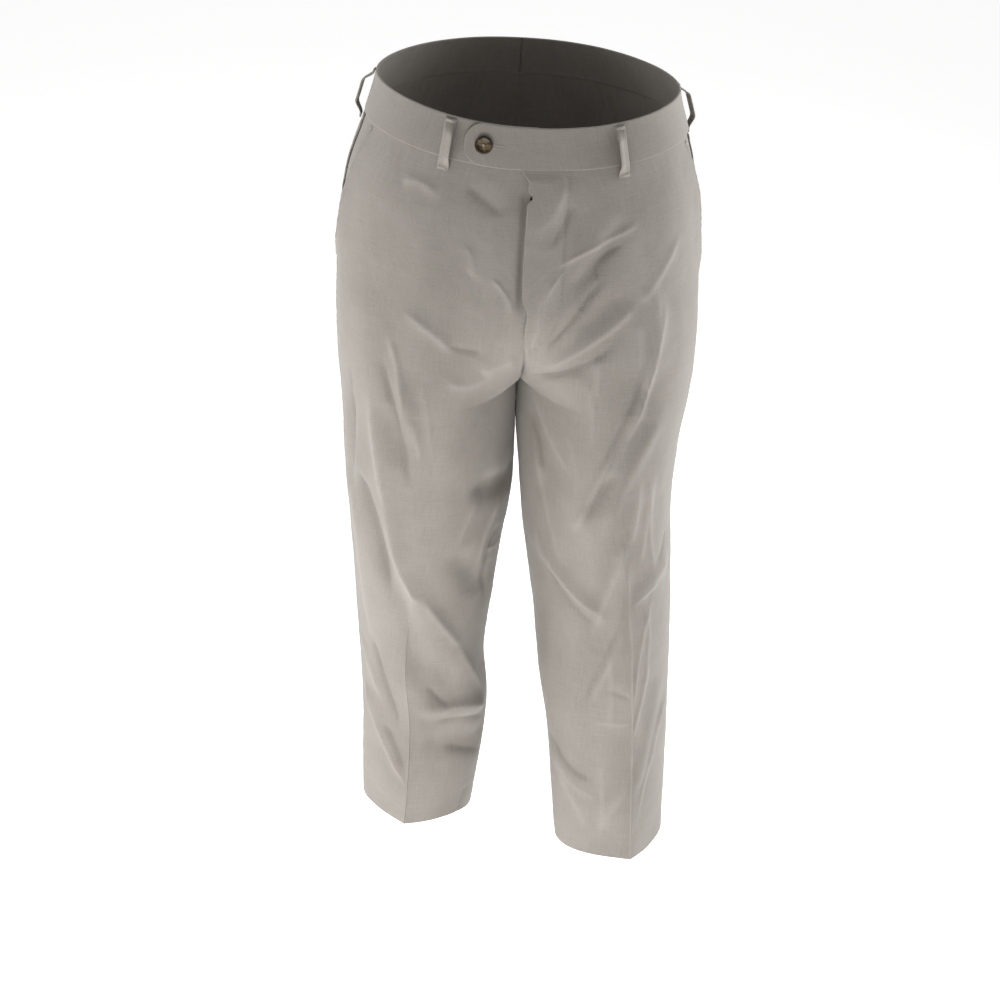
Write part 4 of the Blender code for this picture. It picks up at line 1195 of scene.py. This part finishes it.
def build_belt_loop(place, cloth):
    down = edge_to_edge(LOOP_TOP - LOOP_BOTTOM, LOOP_STEP_DOWN)[:, None]
    across = edge_to_edge(LOOP_WIDTH, LOOP_STEP_ACROSS)[None, :] / LOOP_WIDTH
    g = loop_girth(place, across)
    rise = loop_rise(place, down / down[-1], across)
    piece = wall("cloth_" + place.name, place.side, g, LOOP_TOP - down, rise, LOOP_CLOTH, cloth)
    return dress(piece, place.name)


# Stitches


def stitch_mesh(name, starts, ends, outs, radius, material_used, body="trousers", slot="cloth"):
    """Stitches as one piece: each a short round bar that dips into the cloth at both ends."""
    starts, ends, outs = (np.asarray(part, float) for part in (starts, ends, outs))
    run = ends - starts
    sideways = np.cross(run, outs)
    sideways /= np.linalg.norm(sideways, axis=1, keepdims=True)
    turn = 2 * np.pi * np.arange(STITCH_SIDES) / STITCH_SIDES
    cosine = np.cos(turn)[None, :, None]
    sine = np.sin(turn)[None, :, None]
    rings = []
    for share, size, height in STITCH_RINGS:
        centre = starts + run * share + outs * radius * height
        circle = cosine * sideways[:, None] + sine * outs[:, None]
        rings.append(centre[:, None] + radius * size * circle)
    points = np.stack(rings, axis=1)
    count, ring_count = points.shape[:2]
    index = np.arange(points[..., 0].size).reshape(count, ring_count, STITCH_SIDES)
    after = np.roll(index, -1, axis=2)
    sides = np.stack([index[:, :-1], index[:, 1:], after[:, 1:], after[:, :-1]], -1).reshape(-1, 4)
    caps = index[:, 0].tolist() + index[:, -1, ::-1].tolist()
    mesh = bpy.data.meshes.new(name)
    mesh.from_pydata(points.reshape(-1, 3).tolist(), [], sides.tolist() + caps)
    mesh.shade_smooth()
    mesh.materials.append(material_used)
    obj = link_object(name, mesh)
    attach(obj, body)
    return obj


def along_line(points, pitch, length):
    """Starts and ends, as places in a run of points, of stitches at this pitch and of this length."""
    run = np.concatenate([[0], np.cumsum(np.linalg.norm(np.diff(points, axis=0), axis=1))])
    starts = np.arange(pitch / 2, run[-1] - length, pitch)
    at = np.arange(len(points))
    return np.interp(starts, run, at), np.interp(starts + length, run, at)


def between(points, at):
    """Points read between the places of a run of them."""
    steps = np.arange(len(points))
    return np.stack([np.interp(at, steps, points[:, axis]) for axis in range(3)], -1)


def stitch_row(name, side, g, t, rise, thread):
    """A row of stitches along a line on the cloth."""
    points = lifted(side, g, t, rise)
    outs = outward_normal(side, g, t)
    starts, ends = along_line(points, STITCH_PITCH, STITCH_LENGTH)
    row = (between(points, starts), between(points, ends), between(outs, (starts + ends) / 2))
    return stitch_mesh(name, *row, THREAD, thread)


def bar_tack(name, side, ends_g, ends_t, rise, thread):
    """Close stitches side by side, one below the other, from one point to another."""
    drop = ends_t[1] - ends_t[0]
    t = ends_t[0] + drop * np.linspace(0, 1, TACK_COUNT)
    slant = drop / TACK_COUNT * TACK_SLANT
    first_g, last_g = (np.full(TACK_COUNT, g) for g in ends_g)
    height = np.full(TACK_COUNT, rise)
    starts = lifted(side, first_g, t, height)
    ends = lifted(side, last_g, t + slant, height)
    return stitch_mesh(name, starts, ends, outward_normal(side, first_g, t), TACK_THREAD, thread)


def face_rise(side, g, t):
    """The outer face of a front panel along a line of points."""
    g, t = np.atleast_2d(g), np.atleast_2d(t)
    rise = front_rise(side, g, t, fine_rise(side, g, t))
    return rise[0]


def build_fly_stitches(thread):
    g, t = fly_stitch_line(np.linspace(*FLY_STITCH_SPAN))
    rise = face_rise("left", g, t) + FLY_STEP / 2 - FLY_GROOVE + THREAD / 2
    stitch_row("stitches_fly", "left", g, t, rise, thread)
    end_g, end_t = fly_stitch_line(np.array([FLY_TACK_SHARE]))
    reach = POCKET_TACK / 2 / half_girth("left", TACK_MEASURE_T)
    ends_g = (float(end_g[0]) - reach * FLY_TACK_INNER, float(end_g[0]) + reach)
    ends_t = [float(end_t[0]) + end for end in FLY_TACK_ENDS]
    height = float(face_rise("left", np.array([np.mean(ends_g)]), end_t)[0]) + TACK_THREAD
    bar_tack("tack_fly", "left", ends_g, ends_t, height, thread)


def build_pocket_stitches(side, thread):
    unit = half_girth(side, POCKET_MEASURE_T)
    t = np.linspace(POCKET_STITCH_TOP, POCKET_STITCH_END, POCKET_STITCH_POINTS)
    g = pocket_edge(t) - POCKET_STITCH / unit
    rise = face_rise(side, g, t) + THREAD / 2
    stitch_row("stitches_pocket_" + side, side, g, t, rise, thread)
    reach = POCKET_TACK / unit
    for end, at in POCKET_TACKS.items():
        last = float(pocket_edge(np.array(at))) - POCKET_TACK_INSET / unit
        middle = np.array([last - reach / 2])
        height = float(face_rise(side, middle, np.array([at]))[0]) + TACK_THREAD
        ends_t = [at + beyond for beyond in POCKET_TACK_ENDS]
        bar_tack(f"tack_pocket_{end}_{side}", side, (last - reach, last), ends_t, height, thread)


def build_loop_stitches(place, thread):
    down = np.linspace(*LOOP_STITCH_SPAN)
    t = LOOP_TOP + (LOOP_BOTTOM - LOOP_TOP) * down
    from_edge = LOOP_STITCH / LOOP_WIDTH
    for edge, across in (("a", from_edge), ("b", 1 - from_edge)):
        g = np.full(t.shape, loop_girth(place, across))
        rise = loop_rise(place, down, across) + THREAD / 2
        stitch_row(f"stitches_{place.name}_{edge}", place.side, g, t, rise, thread)
    ends_g = [float(loop_girth(place, across)) for across in LOOP_TACK]
    height = float(loop_rise(place, 0.0, LOOP_TACK_RISE_AT)) + TACK_THREAD
    for end, top in LOOP_TACKS.items():
        ends_t = (top, top - LOOP_TACK_HEIGHT)
        bar_tack(f"tack_{place.name}_{end}", place.side, ends_g, ends_t, height, thread)


def hole_ring(reach):
    """Points round the buttonhole, this far from its middle line: along it, round its end and back."""
    length = HOLE_END_X - HOLE_START_X
    straight = HOLE_START_X + length * np.linspace(0, 1, int(length / HOLE_PITCH))
    beside = np.full(straight.shape, reach)
    turn = np.linspace(-np.pi / 2, np.pi / 2, HOLE_END_POINTS)
    x = np.concatenate([straight, HOLE_END_X + reach * np.cos(turn), straight[::-1]])
    t = -BAND_HEIGHT / 2 + np.concatenate([-beside, reach * np.sin(turn), beside])
    return girth_at(x, t), t


def build_buttonhole(thread):
    """Close stitches round the slit, which lead from under the button towards the left side."""
    inner_g, inner_t = hole_ring(HOLE_HALF)
    outer_g, outer_t = hole_ring(HOLE_HALF + HOLE_STITCH)
    rise = np.full(inner_t.shape, BAND_RISE + TAB_RISE + TACK_THREAD / 2)
    starts = lifted("left", inner_g, inner_t, rise)
    ends = lifted("left", outer_g, outer_t, rise)
    outs = outward_normal("left", outer_g, outer_t)
    return stitch_mesh("buttonhole", starts, ends, outs, HOLE_THREAD, thread)


# Button and zip


def cloth_frame(side, g, t, rise):
    """A frame on the cloth: X across to the wearer's left, Y up along it, Z out of it."""
    out = Vector(outward_normal(side, np.array(g), np.array(t)))
    up = Vector((0, 0, 1))
    across = up.cross(out).normalized()
    up = out.cross(across)
    placed = Matrix((across, up, out)).transposed().to_4x4()
    placed.translation = Vector(lifted(side, np.array(g), np.array(t), np.array(rise)))
    return placed


def button_frame():
    stand = BAND_RISE + TAB_RISE + SEAM_GAP + BUTTON_THICK / 2
    g = float(girth_at(-BUTTON_X, -BAND_HEIGHT / 2))
    return cloth_frame("left", g, -BAND_HEIGHT / 2, stand)


def zip_frame():
    """The slider's frame: placed on the zip, and turned to the cloth in the middle of the pull's swing."""
    placed = cloth_frame("left", float(girth_at(PULL_SWING_X, PULL_SWING_T)), PULL_SWING_T, 0.0)
    placed.translation = Vector(cloth_point("left", girth_at(ZIP_X, SLIDER_T), SLIDER_T))
    return placed


def new_piece(name, bm, material_used, place, node, body="trousers"):
    """A hard piece, made in its own frame, which takes its CAD node's place."""
    mesh = mesh_of(bm, name)
    mesh.materials.append(material_used)
    piece = link_object(name, mesh)
    piece.matrix_world = place
    return dress(piece, node, body=body)


def round_edges(piece):
    """A metal piece's edges are worn a little round."""
    rounded = piece.modifiers.new("round", "BEVEL")
    rounded.width = METAL_EDGE
    rounded.segments = METAL_EDGE_STEPS
    rounded.limit_method = "ANGLE"
    rounded.harden_normals = False


def add_rod(bm, radius, length, place):
    bmesh.ops.create_cone(
        bm,
        cap_ends=True,
        segments=ROD_SIDES,
        radius1=radius,
        radius2=radius,
        depth=length,
        matrix=place,
    )


def build_button(horn, thread):
    """A four-hole button turned from an outline and drilled, and the crossed thread that holds it."""
    radius, half = BUTTON_DIAMETER / 2, BUTTON_THICK / 2
    bm = bmesh.new()
    turned = []
    for share, height in BUTTON_OUTLINE:
        steps = 1 if share == 0 else BUTTON_STEPS
        around = 2 * np.pi * np.arange(steps) / steps
        at = radius * share
        turned.append([bm.verts.new((at * math.cos(a), at * math.sin(a), half * height)) for a in around])
    for first, second in zip(turned, turned[1:]):
        for i in range(BUTTON_STEPS):
            j = (i + 1) % BUTTON_STEPS
            near = [first[0]] if len(first) == 1 else [first[i], first[j]]
            far = [second[0]] if len(second) == 1 else [second[j], second[i]]
            bm.faces.new(near[::-1] + far[::-1])
    bmesh.ops.recalc_face_normals(bm, faces=bm.faces)
    for face in bm.faces:
        face.smooth = True
    place = button_frame()
    button = new_piece("horn_button", bm, horn, place, "waist_button")
    cutter = drill_object(place)
    cut_holes = button.modifiers.new("holes", "BOOLEAN")
    cut_holes.operation = "DIFFERENCE"
    cut_holes.object = cutter
    evaluated = button.evaluated_get(bpy.context.evaluated_depsgraph_get())
    solid = bpy.data.meshes.new_from_object(evaluated)
    button.modifiers.clear()
    button.data = solid
    bpy.data.objects.remove(cutter)
    cross_stitch(place, thread)
    return button


def drill_object(button_place):
    bm = bmesh.new()
    for column in (-1, 1):
        for row in (-1, 1):
            middle = Vector((column, row, 0)) * BUTTON_HOLE_SPACING / 2
            add_rod(bm, BUTTON_HOLE / 2, DRILL_LENGTH, Matrix.Translation(middle))
    cutter = link_object("drill", mesh_of(bm, "drill"))
    cutter.matrix_world = button_place
    bpy.context.view_layer.update()
    return cutter


def cross_stitch(place, thread):
    """Two crossed bars of thread from hole to hole, of two strands each."""
    reach = BUTTON_HOLE_SPACING / 2 * BUTTON_THREAD_REACH
    height = BUTTON_THICK / 2 * BUTTON_THREAD_HEIGHT
    starts, ends = [], []
    for y, lift in ((1, height), (-1, height + BUTTON_THREAD_OVER)):
        for shift in (BUTTON_THREAD_SPREAD, -BUTTON_THREAD_SPREAD):
            starts.append(place @ Vector((-reach + shift, -y * reach - shift * y, lift)))
            ends.append(place @ Vector((reach + shift, y * reach - shift * y, lift)))
    outs = [place.to_3x3() @ Vector((0, 0, 1))] * len(starts)
    return stitch_mesh("button_thread", starts, ends, outs, BUTTON_THREAD, thread, slot="button")


def rounded_outline(width, low, high, corner):
    """A rectangle with round corners, as points in order."""
    points = []
    for x, y, first in (
        (width / 2 - corner, high - corner, 0),
        (corner - width / 2, high - corner, 90),
        (corner - width / 2, low + corner, 180),
        (width / 2 - corner, low + corner, 270),
    ):
        for step in range(CORNER_STEPS + 1):
            angle = math.radians(first + 90 / CORNER_STEPS * step)
            points.append((x + corner * math.cos(angle), y + corner * math.sin(angle)))
    return points


def add_plate(bm, outline, back, front, window=None):
    """A plate with this outline, and with a window through it where one is given."""
    def ring(points, height):
        return [bm.verts.new((x, y, height)) for x, y in points]

    lower, upper = ring(outline, back), ring(outline, front)
    count = len(outline)
    for i in range(count):
        j = (i + 1) % count
        bm.faces.new((lower[i], lower[j], upper[j], upper[i]))
    if window is None:
        bm.faces.new(upper)
        bm.faces.new(lower[::-1])
        return
    inner_lower, inner_upper = ring(window, back), ring(window, front)
    for i in range(count):
        j = (i + 1) % count
        bm.faces.new((inner_lower[j], inner_lower[i], inner_upper[i], inner_upper[j]))
        bm.faces.new((upper[i], upper[j], inner_upper[j], inner_upper[i]))
        bm.faces.new((lower[j], lower[i], inner_lower[i], inner_lower[j]))


def build_slider(metal):
    """Two plates joined by a wedge, with the pin that the pull hangs on."""
    bm = bmesh.new()
    outline = rounded_outline(SLIDER_WIDTH, -SLIDER_LENGTH / 2, SLIDER_LENGTH / 2, SLIDER_CORNER)
    add_plate(bm, outline, SLIDER_FRONT - SLIDER_PLATE, SLIDER_FRONT)
    add_plate(bm, outline, SLIDER_BACK, SLIDER_BACK + SLIDER_PLATE)
    wedge = rounded_outline(
        SLIDER_WIDTH * WEDGE_SHARE, 0.0, SLIDER_LENGTH * WEDGE_SHARE, SLIDER_WIDTH * WEDGE_CORNER
    )
    add_plate(bm, wedge, SLIDER_BACK + SLIDER_PLATE, SLIDER_FRONT - SLIDER_PLATE)
    pin_place = Matrix.Translation((0, 0, (PIN_TOP + SLIDER_FRONT) / 2))
    add_rod(bm, PIN_RADIUS, PIN_TOP - SLIDER_FRONT, pin_place)
    slider = new_piece("zip_slider_body", bm, metal, zip_frame(), "zip_slider")
    round_edges(slider)
    return slider


def build_pull(metal):
    """The pull tab: a plate with a long window, which turns about the slider's pin."""
    bm = bmesh.new()
    outline = rounded_outline(PULL_WIDTH, PULL_CORNER - PULL_LENGTH, PULL_CORNER, PULL_CORNER)
    width, top, length = PULL_WINDOW
    window = rounded_outline(width, -top - length, -top, width / 2 * PULL_WINDOW_ROUND)
    add_plate(bm, outline, PULL_BACK, PULL_FRONT, window)
    place = zip_frame() @ Matrix.Rotation(math.radians(-PULL_LEAN), 4, "Z")
    pull = new_piece("zip_pull_tab", bm, metal, place, "zip_pull", body="zip_pull")
    round_edges(pull)
    return pull


def build_teeth(metal):
    """The closed chain: teeth from either side by turns."""
    start = SLIDER_T - SLIDER_LENGTH / 2 - SLIDER_CLEARANCE
    t = np.arange(start - TOOTH_PITCH, FLY_END + 2 * TAPE_UNDER_LAP_END, -TOOTH_PITCH)
    even = np.arange(len(t)) % 2 == 0
    left = ZIP_X + np.where(even, -CHAIN_HALF, -CHAIN_HALF * TOOTH_SHORT)
    right = ZIP_X + np.where(even, CHAIN_HALF * TOOTH_SHORT, CHAIN_HALF)
    rise = np.full(t.shape, SLIDER_BACK + ZIP_TAPE_THICK + TOOTH_STAND)
    starts = lifted("left", girth_at(left, t), t, rise)
    ends = lifted("left", girth_at(right, t), t, rise)
    outs = outward_normal("left", girth_at(left, t), t)
    thick = TOOTH_PITCH * TOOTH_THICK
    return stitch_mesh("zip_teeth", starts, ends, outs, thick, metal, slot="zip_metal")


# Materials


def new_material(name):
    made = bpy.data.materials.new(name)
    made.use_nodes = True
    return made, made.node_tree, made.node_tree.nodes["Principled BSDF"]


def wire(tree, value, socket):
    """Gives a socket a number or a link."""
    if isinstance(value, bpy.types.NodeSocket):
        tree.links.new(value, socket)
    else:
        socket.default_value = value


def maths(tree, operation, first, second=0.0):
    step = tree.nodes.new("ShaderNodeMath")
    step.operation = operation
    wire(tree, first, step.inputs[0])
    wire(tree, second, step.inputs[1])
    return step.outputs[0]


def object_place(tree):
    return tree.nodes.new("ShaderNodeTexCoord").outputs["Object"]


def split_axes(tree, place):
    split = tree.nodes.new("ShaderNodeSeparateXYZ")
    tree.links.new(place, split.inputs[0])
    return split.outputs


def noise_at(tree, place, scale, detail):
    """Noise whose scale may differ along each axis, from about -0.5 to 0.5."""
    sized = tree.nodes.new("ShaderNodeMapping")
    sized.inputs["Scale"].default_value = scale
    wire(tree, place, sized.inputs["Vector"])
    made = tree.nodes.new("ShaderNodeTexNoise")
    made.inputs["Scale"].default_value = 1.0
    made.inputs["Detail"].default_value = detail
    wire(tree, sized.outputs[0], made.inputs["Vector"])
    return maths(tree, "SUBTRACT", made.outputs["Fac"], 0.5)


def noises_at(tree, place, look):
    return {name: noise_at(tree, place, *noise_used) for name, noise_used in look.noises.items()}


def blend_colours(tree, share, first, second):
    mix = tree.nodes.new("ShaderNodeMix")
    mix.data_type = "RGBA"
    wire(tree, share, mix.inputs["Factor"])
    mix.inputs["A"].default_value = (*first, 1)
    mix.inputs["B"].default_value = (*second, 1)
    return mix.outputs["Result"]


def total(tree, parts, weights):
    """The sum of parts, each times its weight, from a middle of a half."""
    value = 0.5
    for name, weight in weights.items():
        value = maths(tree, "ADD", maths(tree, "MULTIPLY", parts[name], weight), value)
    return value


def bump(tree, shader, height, strength, distance):
    made = tree.nodes.new("ShaderNodeBump")
    made.inputs["Strength"].default_value = strength
    made.inputs["Distance"].default_value = distance
    wire(tree, height, made.inputs["Height"])
    tree.links.new(made.outputs[0], shader.inputs["Normal"])


def finish_material(tree, shader, look, parts, colour, height):
    """Gives a material its colour, its roughness, its bump and its other inputs."""
    tree.links.new(colour, shader.inputs["Base Color"])
    tree.links.new(total(tree, parts, look.roughness), shader.inputs["Roughness"])
    bump(tree, shader, height, *look.bump)
    for name, value in look.inputs.items():
        shader.inputs[name].default_value = value


def woven_material(name, light, dark, pitch):
    """A plain weave with slubs: threads of uneven thickness and shade, both along and across."""
    made, tree, shader = new_material(name)
    grain = tree.nodes.new("ShaderNodeUVMap")
    grain.uv_map = "cloth"
    # The tone attribute adds painted highlight and shade from creases, grooves and the fly's gap, and
    # rubbed wear at rims
    wear_and_painted_light = tree.nodes.new("ShaderNodeAttribute")
    wear_and_painted_light.attribute_name = "tone"
    axes = split_axes(tree, grain.outputs[0])
    turns = 2 * math.pi / pitch
    across, up = (maths(tree, "SINE", maths(tree, "MULTIPLY", axes[axis], turns)) for axis in (0, 1))
    parts = noises_at(tree, grain.outputs[0], CLOTH_LOOK)
    parts["weave"] = maths(tree, "MULTIPLY", across, up)
    parts["wear_and_painted_light"] = wear_and_painted_light.outputs["Fac"]
    parts["tone"] = total(tree, parts, CLOTH_LOOK.tone)
    colour = blend_colours(tree, parts["tone"], dark, light)
    finish_material(tree, shader, CLOTH_LOOK, parts, colour, total(tree, parts, CLOTH_HEIGHT))
    return made


def thread_material():
    made, tree, shader = new_material("sewing_thread")
    parts = noises_at(tree, object_place(tree), THREAD_LOOK)
    darker = tuple(THREAD_SHADE * part for part in THREAD_COLOUR)
    colour = blend_colours(tree, total(tree, parts, THREAD_LOOK.tone), darker, THREAD_COLOUR)
    finish_material(tree, shader, THREAD_LOOK, parts, colour, parts["twist"])
    return made


def horn_material():
    """Dark at the rim and olive brown in the middle, with streaks."""
    made, tree, shader = new_material("horn")
    place = object_place(tree)
    axes = split_axes(tree, place)
    x, y = (maths(tree, "POWER", maths(tree, "ABSOLUTE", axes[axis]), 2.0) for axis in (0, 1))
    radius = maths(tree, "SQRT", maths(tree, "ADD", x, y))
    parts = noises_at(tree, place, HORN_LOOK)
    parts["rim"] = maths(tree, "DIVIDE", radius, BUTTON_DIAMETER / 2)
    tone = total(tree, parts, HORN_LOOK.tone)
    light = maths(tree, "MAXIMUM", maths(tree, "ADD", tone, HORN_LIFT), 0.0)
    colour = blend_colours(tree, light, HORN_DARK, HORN_LIGHT)
    finish_material(tree, shader, HORN_LOOK, parts, colour, parts["streaks"])
    return made


def metal_material():
    """Blackened brass, rubbed brighter in places."""
    made, tree, shader = new_material("dark_metal")
    parts = noises_at(tree, object_place(tree), METAL_LOOK)
    tone = total(tree, parts, METAL_LOOK.tone)
    share = maths(tree, "MAXIMUM", maths(tree, "SUBTRACT", tone, METAL_DROP), 0.0)
    colour = blend_colours(tree, share, METAL_DARK, METAL_WORN)
    finish_material(tree, shader, METAL_LOOK, parts, colour, parts["scratch"])
    return made


def floor_material():
    made, tree, shader = new_material("pale_floor")
    parts = {"cloud": noise_at(tree, object_place(tree), *FLOOR_NOISE)}
    darker = tuple(FLOOR_SHADE * part for part in FLOOR_COLOUR)
    colour = blend_colours(tree, total(tree, parts, FLOOR_TONE), darker, FLOOR_COLOUR)
    tree.links.new(colour, shader.inputs["Base Color"])
    shader.inputs["Roughness"].default_value = FLOOR_ROUGHNESS
    shader.inputs["Emission Color"].default_value = (1, 1, 1, 1)
    shader.inputs["Emission Strength"].default_value = FLOOR_GLOW
    return made


# Stage


def build_camera():
    azimuth, down, roll = map(math.radians, (CAMERA_AZIMUTH, CAMERA_DOWN, CAMERA_ROLL))
    data = bpy.data.cameras.new("camera")
    data.lens = CAMERA_LENS
    data.sensor_width = CAMERA_SENSOR
    camera = link_object("camera", data)
    level = Vector((math.cos(azimuth), math.sin(azimuth), 0))
    ahead = Vector((-math.sin(azimuth), math.cos(azimuth), 0))
    forward = math.cos(down) * ahead - math.sin(down) * Vector((0, 0, 1))
    up = level.cross(forward)
    across = math.cos(roll) * level + math.sin(roll) * up
    upward = -math.sin(roll) * level + math.cos(roll) * up
    placed = Matrix((across, upward, -forward)).transposed().to_4x4()
    placed.translation = Vector(CAMERA_PLACE)
    camera.matrix_world = placed
    bpy.context.scene.camera = camera


def area_light(lamp):
    data = bpy.data.lights.new(lamp.name, "AREA")
    data.shape = "RECTANGLE"
    data.size, data.size_y = lamp.size
    data.energy = lamp.power
    made = link_object(lamp.name, data)
    made.location = lamp.place
    toward = Vector(lamp.target) - Vector(lamp.place)
    made.rotation_euler = toward.to_track_quat("-Z", "Y").to_euler()
    made.visible_camera = False


def build_stage():
    bm = bmesh.new()
    bmesh.ops.create_grid(bm, x_segments=1, y_segments=1, size=FLOOR_HALF)
    mesh = mesh_of(bm, "floor")
    mesh.materials.append(floor_material())
    floor = link_object("floor", mesh)
    floor.location = (0, 0, FLOOR_Z)
    world = bpy.data.worlds.new("studio")
    world.use_nodes = True
    background = world.node_tree.nodes["Background"]
    background.inputs["Color"].default_value = (1, 1, 1, 1)
    background.inputs["Strength"].default_value = WORLD_GLOW
    bpy.context.scene.world = world
    for lamp in LAMPS:
        area_light(lamp)


def build_all():
    cloth = woven_material("linen_cloth", CLOTH_LIGHT, CLOTH_DARK, WEAVE_PITCH)
    tape = woven_material("zip_tape", TAPE_LIGHT, TAPE_DARK, TAPE_PITCH)
    thread = thread_material()
    metal = metal_material()
    for side in SIDE_SIGN:
        build_front(side, cloth)
        build_back(side, cloth)
        build_pocket_facing(side, cloth)
        build_waistband(side, cloth)
        build_pocket_stitches(side, thread)
    build_fly_shield(cloth)
    build_zip_tape(tape)
    build_teeth(metal)
    build_slider(metal)
    build_pull(metal)
    build_fly_stitches(thread)
    build_buttonhole(thread)
    build_button(horn_material(), thread)
    for place in LOOPS:
        build_belt_loop(place, cloth)
        build_loop_stitches(place, thread)
    build_camera()
    build_stage()


build_all()
bpy.context.scene.view_settings.view_transform = "Standard"
